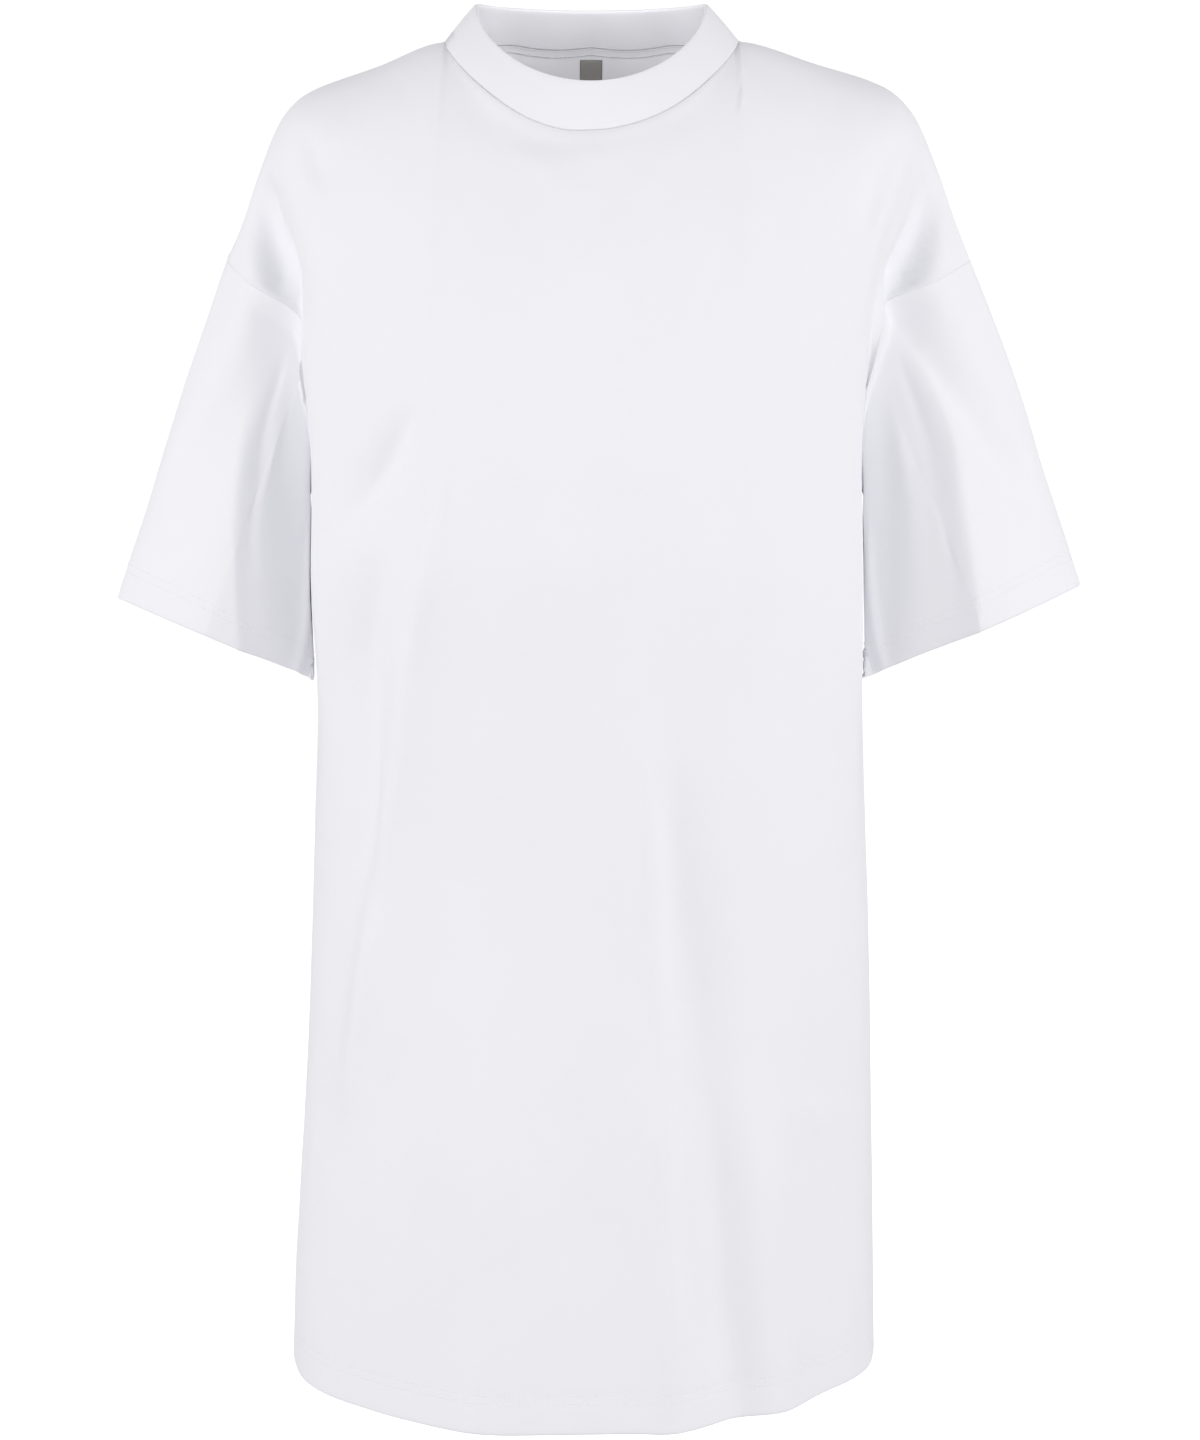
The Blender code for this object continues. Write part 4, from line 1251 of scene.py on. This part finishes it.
@dataclass
class Sleeve:
    """One short sleeve, a tube with its cuff turned up."""

    form: DressForm
    sizes: CuffSizes
    columns: int = 78  # from the shoulder tip to the underarm, on each side
    rows: int = 62
    cuff_depth: float = 0.021
    cuff_rows: int = 9
    hem: HemStitch = field(default_factory=lambda: HemStitch((0.0205, 0.0155)))
    cuff_gap: float = 0.006  # share of the sleeve between its even rows and the close ones of the cuff
    spare_row: float = 0.4
    armhole: SeamRidge = field(default_factory=SeamRidge)
    tip_fade: float = 0.1  # how far round the tip its ridge stays low
    clearance: float = 0.0012  # least distance from the body's side
    leave: Point = (0.030, -0.020, -0.020)  # speed at which cloth leaves the underarm
    under_span: float = 0.6  # radians each side of the underarm over which it does
    fade: float = 0.15  # share of the sleeve over which folds start
    fold_ends: float = 4  # a fold rises and sinks over one part in this many of its run
    quiet: float = 0.02
    waves: tuple[Waves, ...] = (Waves(0.0012, 0.040, 0.120, 5.3), Waves(0.0006, 0.020, 0.050, 1.9))
    inner_square: float = 1.25  # how square the cuff's section is beside the body, 2 being round

    @property
    def name(self) -> str:
        """The sleeve's node."""
        return f"sleeve_{self.sizes.hand.name.lower()}"

    def grid(self) -> ClothGrid:
        """The outer face from the armhole down to the turn of the cuff."""
        s = self.sizes
        mirror = [s.hand.value, 1, 1]
        start = self.form.armhole(s.hand, self.columns) * mirror
        turn = np.linspace(0, 2 * math.pi, len(start))
        outer, inner = np.array([s.outer_x, s.outer_z]), np.array([s.inner_x, s.inner_z])
        middle, half = (outer + inner) / 2, (outer - inner) / 2
        front = np.sin(turn)
        power = np.where(np.cos(turn) < 0, 2 / self.inner_square, 1.0)
        across = np.sign(np.cos(turn)) * np.abs(np.cos(turn)) ** power
        front = np.sign(front) * np.abs(front) ** power
        end_x = middle[0] + half[0] * across
        middle_y = s.inner_y + (s.outer_y - s.inner_y) * (1 + across) / 2
        end_y = middle_y - front * np.where(front > 0, s.front, s.back)
        end_z = middle[1] + half[1] * across + s.lift * front
        end = np.stack([end_x, end_y, end_z], axis=1)
        down = np.array([half[1], 0, -half[0]]) / np.linalg.norm(half)
        length = np.linalg.norm(end - start, axis=1)[:, None]
        under = np.exp(-(((turn - math.pi) / self.under_span) ** 2))[:, None]
        leave = (end - start) * (1 - under) + under * np.array(self.leave)
        shares = self.shares(length.mean())
        rows = np.stack([hermite(start, leave, end, down * length, np.full(len(start), t)) for t in shares])
        rows[..., 0] += s.bow * np.outer(np.sin(math.pi * shares), np.cos(turn / 2) ** 4)
        rows = self.tucked(self.folded(rows, shares, turn, SLEEVE_HOLLOWS), shares)
        rows = self.folded(rows, shares, turn, FINE_SLEEVE_FOLDS)
        below = smooth((RINGS[0].z - rows[..., 2]) / self.clearance)
        rows[..., 0] = np.maximum(rows[..., 0], below * (self.form.body_side(s.hand, rows) + self.clearance))
        rows = rows * mirror
        grid = ClothGrid(rows[:, :: -s.hand.value], closed=True)
        return grid.raised(self.relief(grid))

    def shares(self, length: float) -> Array:
        """Shares down the sleeve, close together beside the armhole seam and in the cuff."""
        close = [d / length for d in EDGE_STEPS]
        cuff = 1 - self.cuff_depth / length
        even = np.linspace(0, cuff - self.cuff_gap, self.rows + 1)
        even = even[even > close[-1] + self.spare_row / self.rows]
        return np.concatenate([[0], close, even, np.linspace(cuff, 1 - FOLD_RADIUS / length, self.cuff_rows)])

    def fold_height(self, fold: SleeveFold, shares: Array, turn: Array) -> Array:
        """Heights that one fold gives to the sleeve's grid."""
        run = (shares[:, None] - fold.start_share) / (fold.end_share - fold.start_share)
        centre = np.radians(fold.start_turn + (fold.end_turn - fold.start_turn) * run)
        away = (turn - centre + math.pi) % (2 * math.pi) - math.pi
        profile = np.exp(-((away / math.radians(fold.spread)) ** 2))
        ends = smooth(run * self.fold_ends) * smooth((1 - run) * self.fold_ends)
        return fold.rise * smooth(shares[:, None] / self.fade) * ends * profile

    def folded(self, rows: Array, shares: Array, turn: Array, folds: tuple[SleeveFold, ...]) -> Array:
        """Moves points of the sleeve by those folds that are its own.

        Args:
            rows: Points of the sleeve, with the body on the low side of X.
            shares: Shares down the sleeve.
            turn: Angles round it.
            folds: Folds of both sleeves.

        Returns:
            The moved points.
        """
        height = sum(self.fold_height(fold, shares, turn) for fold in folds if fold.hand is self.sizes.hand)
        return rows + height[..., None] * ClothGrid(rows[:, ::-1], closed=True).normals()[:, ::-1]

    def tucked(self, rows: Array, shares: Array) -> Array:
        """Moves the front back between its crest and the body, where the arm's weight draws it in.

        Args:
            rows: Points of the sleeve, with the body on the low side of X.
            shares: Shares down the sleeve.

        Returns:
            The points with the hollow beside the body.
        """
        t = self.sizes.tuck
        crest_x = (t.top_x + (t.cuff_x - t.top_x) * shares)[:, None]
        crest_y = between(t.knots, t.depths, shares)[:, None]
        side_x = self.form.ring("half_width", np.full(1, RINGS[0].z))
        beside = np.clip((crest_x - rows[..., 0]) / (crest_x - side_x), 0, 1)
        limit = crest_y + (t.side_y - crest_y) * beside**t.bend
        over = limit - rows[..., 1]
        moved = rows.copy()
        push = t.share * (np.sqrt(over**2 + t.softness**2) + over) / 2
        moved[..., 1] += push * smooth(shares / t.fade)[:, None]
        return moved

    def relief(self, grid: ClothGrid) -> Array:
        """Small heights of the outer face: the ridge at the armhole, unevenness and the cuff's stitches."""
        down = grid.down_lengths()
        waves = sum(wave.heights(grid.points) for wave in self.waves)
        turn = np.linspace(0, 2 * math.pi, grid.points.shape[1])
        seam = self.armhole.height(down) * smooth((1 - np.cos(turn)) / self.tip_fade)
        return waves * smooth(down / self.quiet) + self.hem.dents(down[-1:] - down) + seam

    def build(self, maker: ClothMaker, material: Material, thread: Material) -> list:
        grid = self.grid()
        obj = maker.cloth(f"{self.name}_cloth", grid.turned_in(self.cuff_depth), PLY, material)
        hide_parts(self.name)
        return [obj, self.hem.sew(maker, f"{self.name}_stitches", grid, thread)]


@dataclass
class CollarBand:
    """The mock neck: one band folded at its rim, both plies sewn into the neck seam."""

    form: DressForm
    columns: int = 80
    rows: int = 12
    first_share: float = 0.1  # of the way up, where its even rows start
    ditch: float = 0.0001
    ditch_reach: float = 0.0006

    def grid(self) -> ClothGrid:
        """The outer ply from the neck seam up to the turn of the rim."""
        neck = self.form.neck
        base = self.form.neck_loop(self.columns)
        reach = np.where(base[:, 1] < 0, neck.front, neck.back)
        turn = np.arctan2(base[:, 1] / reach, (base[:, 0] - neck.sway) / neck.half_width)
        front = turn < 0
        height = np.where(front, neck.rim_front_z, neck.rim_back_z) - neck.rim_side_z
        dip = np.where(front, neck.rim_front_dip, neck.rim_back_dip)
        rim_x = neck.rim_sway + neck.rim_half_width * np.cos(turn)
        rim_y = np.sin(turn) * np.where(front, neck.rim_front, neck.rim_back)
        rim_z = neck.rim_side_z + height * np.abs(np.sin(turn)) ** dip
        rim = np.stack([rim_x, rim_y, rim_z], axis=1)
        length = np.linalg.norm(rim - base, axis=1).mean()
        rim_share = 1 - FOLD_RADIUS / length
        close = [d / length for d in EDGE_STEPS[:3]]
        shares = [0, *close, *np.linspace(self.first_share, rim_share, self.rows)]
        flat = np.stack([np.cos(turn), np.sin(turn), 0 * turn], axis=1)
        rows = [base + (rim - base) * s + flat * neck.bulge * math.sin(math.pi * s) for s in shares]
        grid = ClothGrid(np.stack(rows)[::-1], closed=True)
        down = grid.down_lengths()
        return grid.raised(near_edge(down[-1:] - down, self.ditch, self.ditch_reach)).flipped()

    def build(self, maker: ClothMaker, material: Material) -> bpy.types.Object:
        outer = self.grid()
        grid = outer.turned_in(float(outer.down_lengths()[-1].mean()))
        obj = maker.cloth("collar_band", grid, PLY, material)
        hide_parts("collar")
        return obj


@dataclass
class SizeLabel:
    """A bare label on the inner face of the back."""

    half_width: float = 0.0077
    drop: float = 0.012  # from the neck seam to its top
    height: float = 0.020
    wall: float = 0.0008
    gap: float = 0.0005
    steps: int = 9  # points along each edge
    level_row: int = 4  # of the panel, along which its edges lie

    def build(self, maker: ClothMaker, panel: ClothGrid, material: Material) -> bpy.types.Object:
        """Args:
            maker: The maker of pieces.
            panel: The back's outer face.
            material: The label's finish.

        Returns:
            The label.
        """
        normals = panel.normals()
        down = panel.down_lengths()
        centre = panel.points.shape[1] // 2
        heights = np.linspace(self.drop, self.drop + self.height, self.steps)
        columns = [np.interp(heights, down[:, centre], panel.points[:, centre, k]) for k in range(3)]
        middle = np.stack(columns, axis=1)
        inward = [np.interp(heights, down[:, centre], -normals[:, centre, k]) for k in range(3)]
        inward = unit(np.stack(inward, axis=1))
        level = panel.points[self.level_row]
        along = unit(level[centre + 1] - level[centre - 1])
        offsets = np.linspace(self.half_width, -self.half_width, self.steps)
        lift = PLY + self.gap + self.wall
        rows = [[m + along * o + n * lift for o in offsets] for m, n in zip(middle, inward)]
        grid = ClothGrid(np.array(rows))
        obj = maker.cloth("size_label_tape", grid, self.wall, material)
        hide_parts("size_label")
        return obj


# ---------------------------------------------------------------- the studio


@dataclass(frozen=True)
class Lamp:
    """One square soft light."""

    name: str
    place: Point
    size: float
    watts: float
    aim: Point = (0.0, 0.0, -0.42)


LAMPS = (
    Lamp("front_-1", (-1.9, -1.9, 0.2), 1.6, 15.8),
    Lamp("side_-1", (-2.5, -0.9, 0.2), 1.6, 21.0),
    Lamp("front_1", (1.9, -1.9, 0.2), 1.6, 15.8),
    Lamp("side_1", (2.5, -0.9, 0.2), 1.6, 21.0),
    Lamp("low", (0.0, -2.2, -1.2), 1.2, 6.0),
    Lamp("in_neck", (0.0, -0.02, -0.03), 0.06, 0.047, aim=(0.0, 0.2, 0.0)),
)


@dataclass
class Studio:
    """Camera, lights and floor."""

    image_width: int = 1200
    image_height: int = 1440
    focal: float = 2636.0  # in widths of one of the image's pixels
    sensor: float = 36.0
    eye: Point = (0.0067, -1.75, -0.2843)
    tilt: float = 5.2  # degrees below level
    ambient: float = 0.52
    ambient_colour: Colour = (0.985, 0.985, 1.0)
    ground: float = 1.05  # brightness of the white behind the dress
    floor_z: float = -1.42
    floor_radius: float = 7.0
    floor_segments: int = 96
    floor_colour: Colour = (0.93, 0.93, 0.93)
    floor_roughness: float = 0.9
    floor_glow: float = 0.75

    def camera(self) -> None:
        """Makes the camera and gives it to the scene."""
        lens = bpy.data.cameras.new("camera")
        lens.sensor_width = self.sensor
        lens.lens = lens.sensor_width * self.focal / max(self.image_width, self.image_height)
        obj = bpy.data.objects.new("camera", lens)
        obj.location = self.eye
        obj.rotation_euler = (math.pi / 2 - math.radians(self.tilt), 0, 0)
        bpy.context.scene.collection.objects.link(obj)
        bpy.context.scene.camera = obj

    def light(self, lamp: Lamp) -> None:
        """Makes one light, which looks at its aim."""
        data = bpy.data.lights.new(lamp.name, "AREA")
        data.size = lamp.size
        data.energy = lamp.watts
        obj = bpy.data.objects.new(lamp.name, data)
        obj.location = lamp.place
        obj.rotation_euler = (Vector(lamp.aim) - Vector(lamp.place)).to_track_quat("-Z", "Y").to_euler()
        bpy.context.scene.collection.objects.link(obj)

    def world(self) -> None:
        """Even ambient light, with a white ground behind the dress."""
        world = bpy.data.worlds.new("studio")
        bpy.context.scene.world = world
        world.use_nodes = True
        tree = world.node_tree
        ground = tree.nodes["Background"]
        ground.inputs["Color"].default_value = (1, 1, 1, 1)
        ground.inputs["Strength"].default_value = self.ground
        fill = tree.nodes.new("ShaderNodeBackground")
        fill.inputs["Color"].default_value = (*self.ambient_colour, 1)
        fill.inputs["Strength"].default_value = self.ambient
        seen = tree.nodes.new("ShaderNodeLightPath")
        mix = tree.nodes.new("ShaderNodeMixShader")
        tree.links.new(seen.outputs["Is Camera Ray"], mix.inputs["Fac"])
        tree.links.new(fill.outputs[0], mix.inputs[1])
        tree.links.new(ground.outputs[0], mix.inputs[2])
        tree.links.new(mix.outputs[0], tree.nodes["World Output"].inputs["Surface"])

    def floor(self) -> None:
        """A plain pale floor below the dress."""
        shape = bmesh.new()
        bmesh.ops.create_circle(shape, cap_ends=True, segments=self.floor_segments, radius=self.floor_radius)
        bmesh.ops.translate(shape, verts=shape.verts, vec=(0, 0, self.floor_z))
        mesh = bpy.data.meshes.new("floor")
        shape.to_mesh(mesh)
        shape.free()
        material = bpy.data.materials.new("pale_floor")
        material.use_nodes = True
        surface = material.node_tree.nodes["Principled BSDF"]
        surface.inputs["Base Color"].default_value = (*self.floor_colour, 1)
        surface.inputs["Roughness"].default_value = self.floor_roughness
        surface.inputs["Emission Color"].default_value = (1, 1, 1, 1)
        surface.inputs["Emission Strength"].default_value = self.floor_glow
        mesh.materials.append(material)
        obj = bpy.data.objects.new("floor", mesh)
        obj.visible_diffuse = False
        bpy.context.scene.collection.objects.link(obj)
        obj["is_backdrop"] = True

    def build(self) -> None:
        """Sets up the studio."""
        bpy.context.scene.view_settings.view_transform = "Standard"
        self.camera()
        self.world()
        self.floor()
        for lamp in LAMPS:
            self.light(lamp)
        log.info("studio ready")


def main() -> None:
    """Builds the dress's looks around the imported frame."""
    logging.basicConfig(level=logging.INFO, format="%(name)s: %(message)s")
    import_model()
    cad_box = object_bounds()
    Studio().build()

    knit, mottle = knit_group(), mottle_group()
    jersey = JerseyFinish("white_jersey", WHITE).material(knit, mottle)
    band = JerseyFinish("white_collar_jersey", WHITE, rib=0.5).material(knit, mottle)
    thread = ThreadFinish("white_thread", THREAD_WHITE).material(mottle)
    tape = JerseyFinish("grey_label_tape", LABEL_GREY, roughness=0.7, sheen=0.0, wales=2200, courses=2200)

    maker = ClothMaker()
    form = DressForm()
    panels = {face: BodyPanel(form, face) for face in Face}
    for face, panel in panels.items():
        obj, stitches = panel.build(maker, jersey, thread)
        binding = panel.neck_binding(maker, jersey, thread)
        log.info("%s ready", obj.name)
    for sizes in CUFFS:
        obj, stitches = Sleeve(form, sizes).build(maker, jersey, thread)
        log.info("%s ready", obj.name)
    obj = CollarBand(form).build(maker, band)
    log.info("%s ready", obj.name)
    obj = SizeLabel().build(maker, panels[Face.BACK].grid(), tape.material(knit, mottle))
    log.info("%s ready", obj.name)

    sizes = {"cad": [list(c) for c in cad_box], "visual": [list(c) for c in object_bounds()]}


if __name__ == "__main__":
    main()
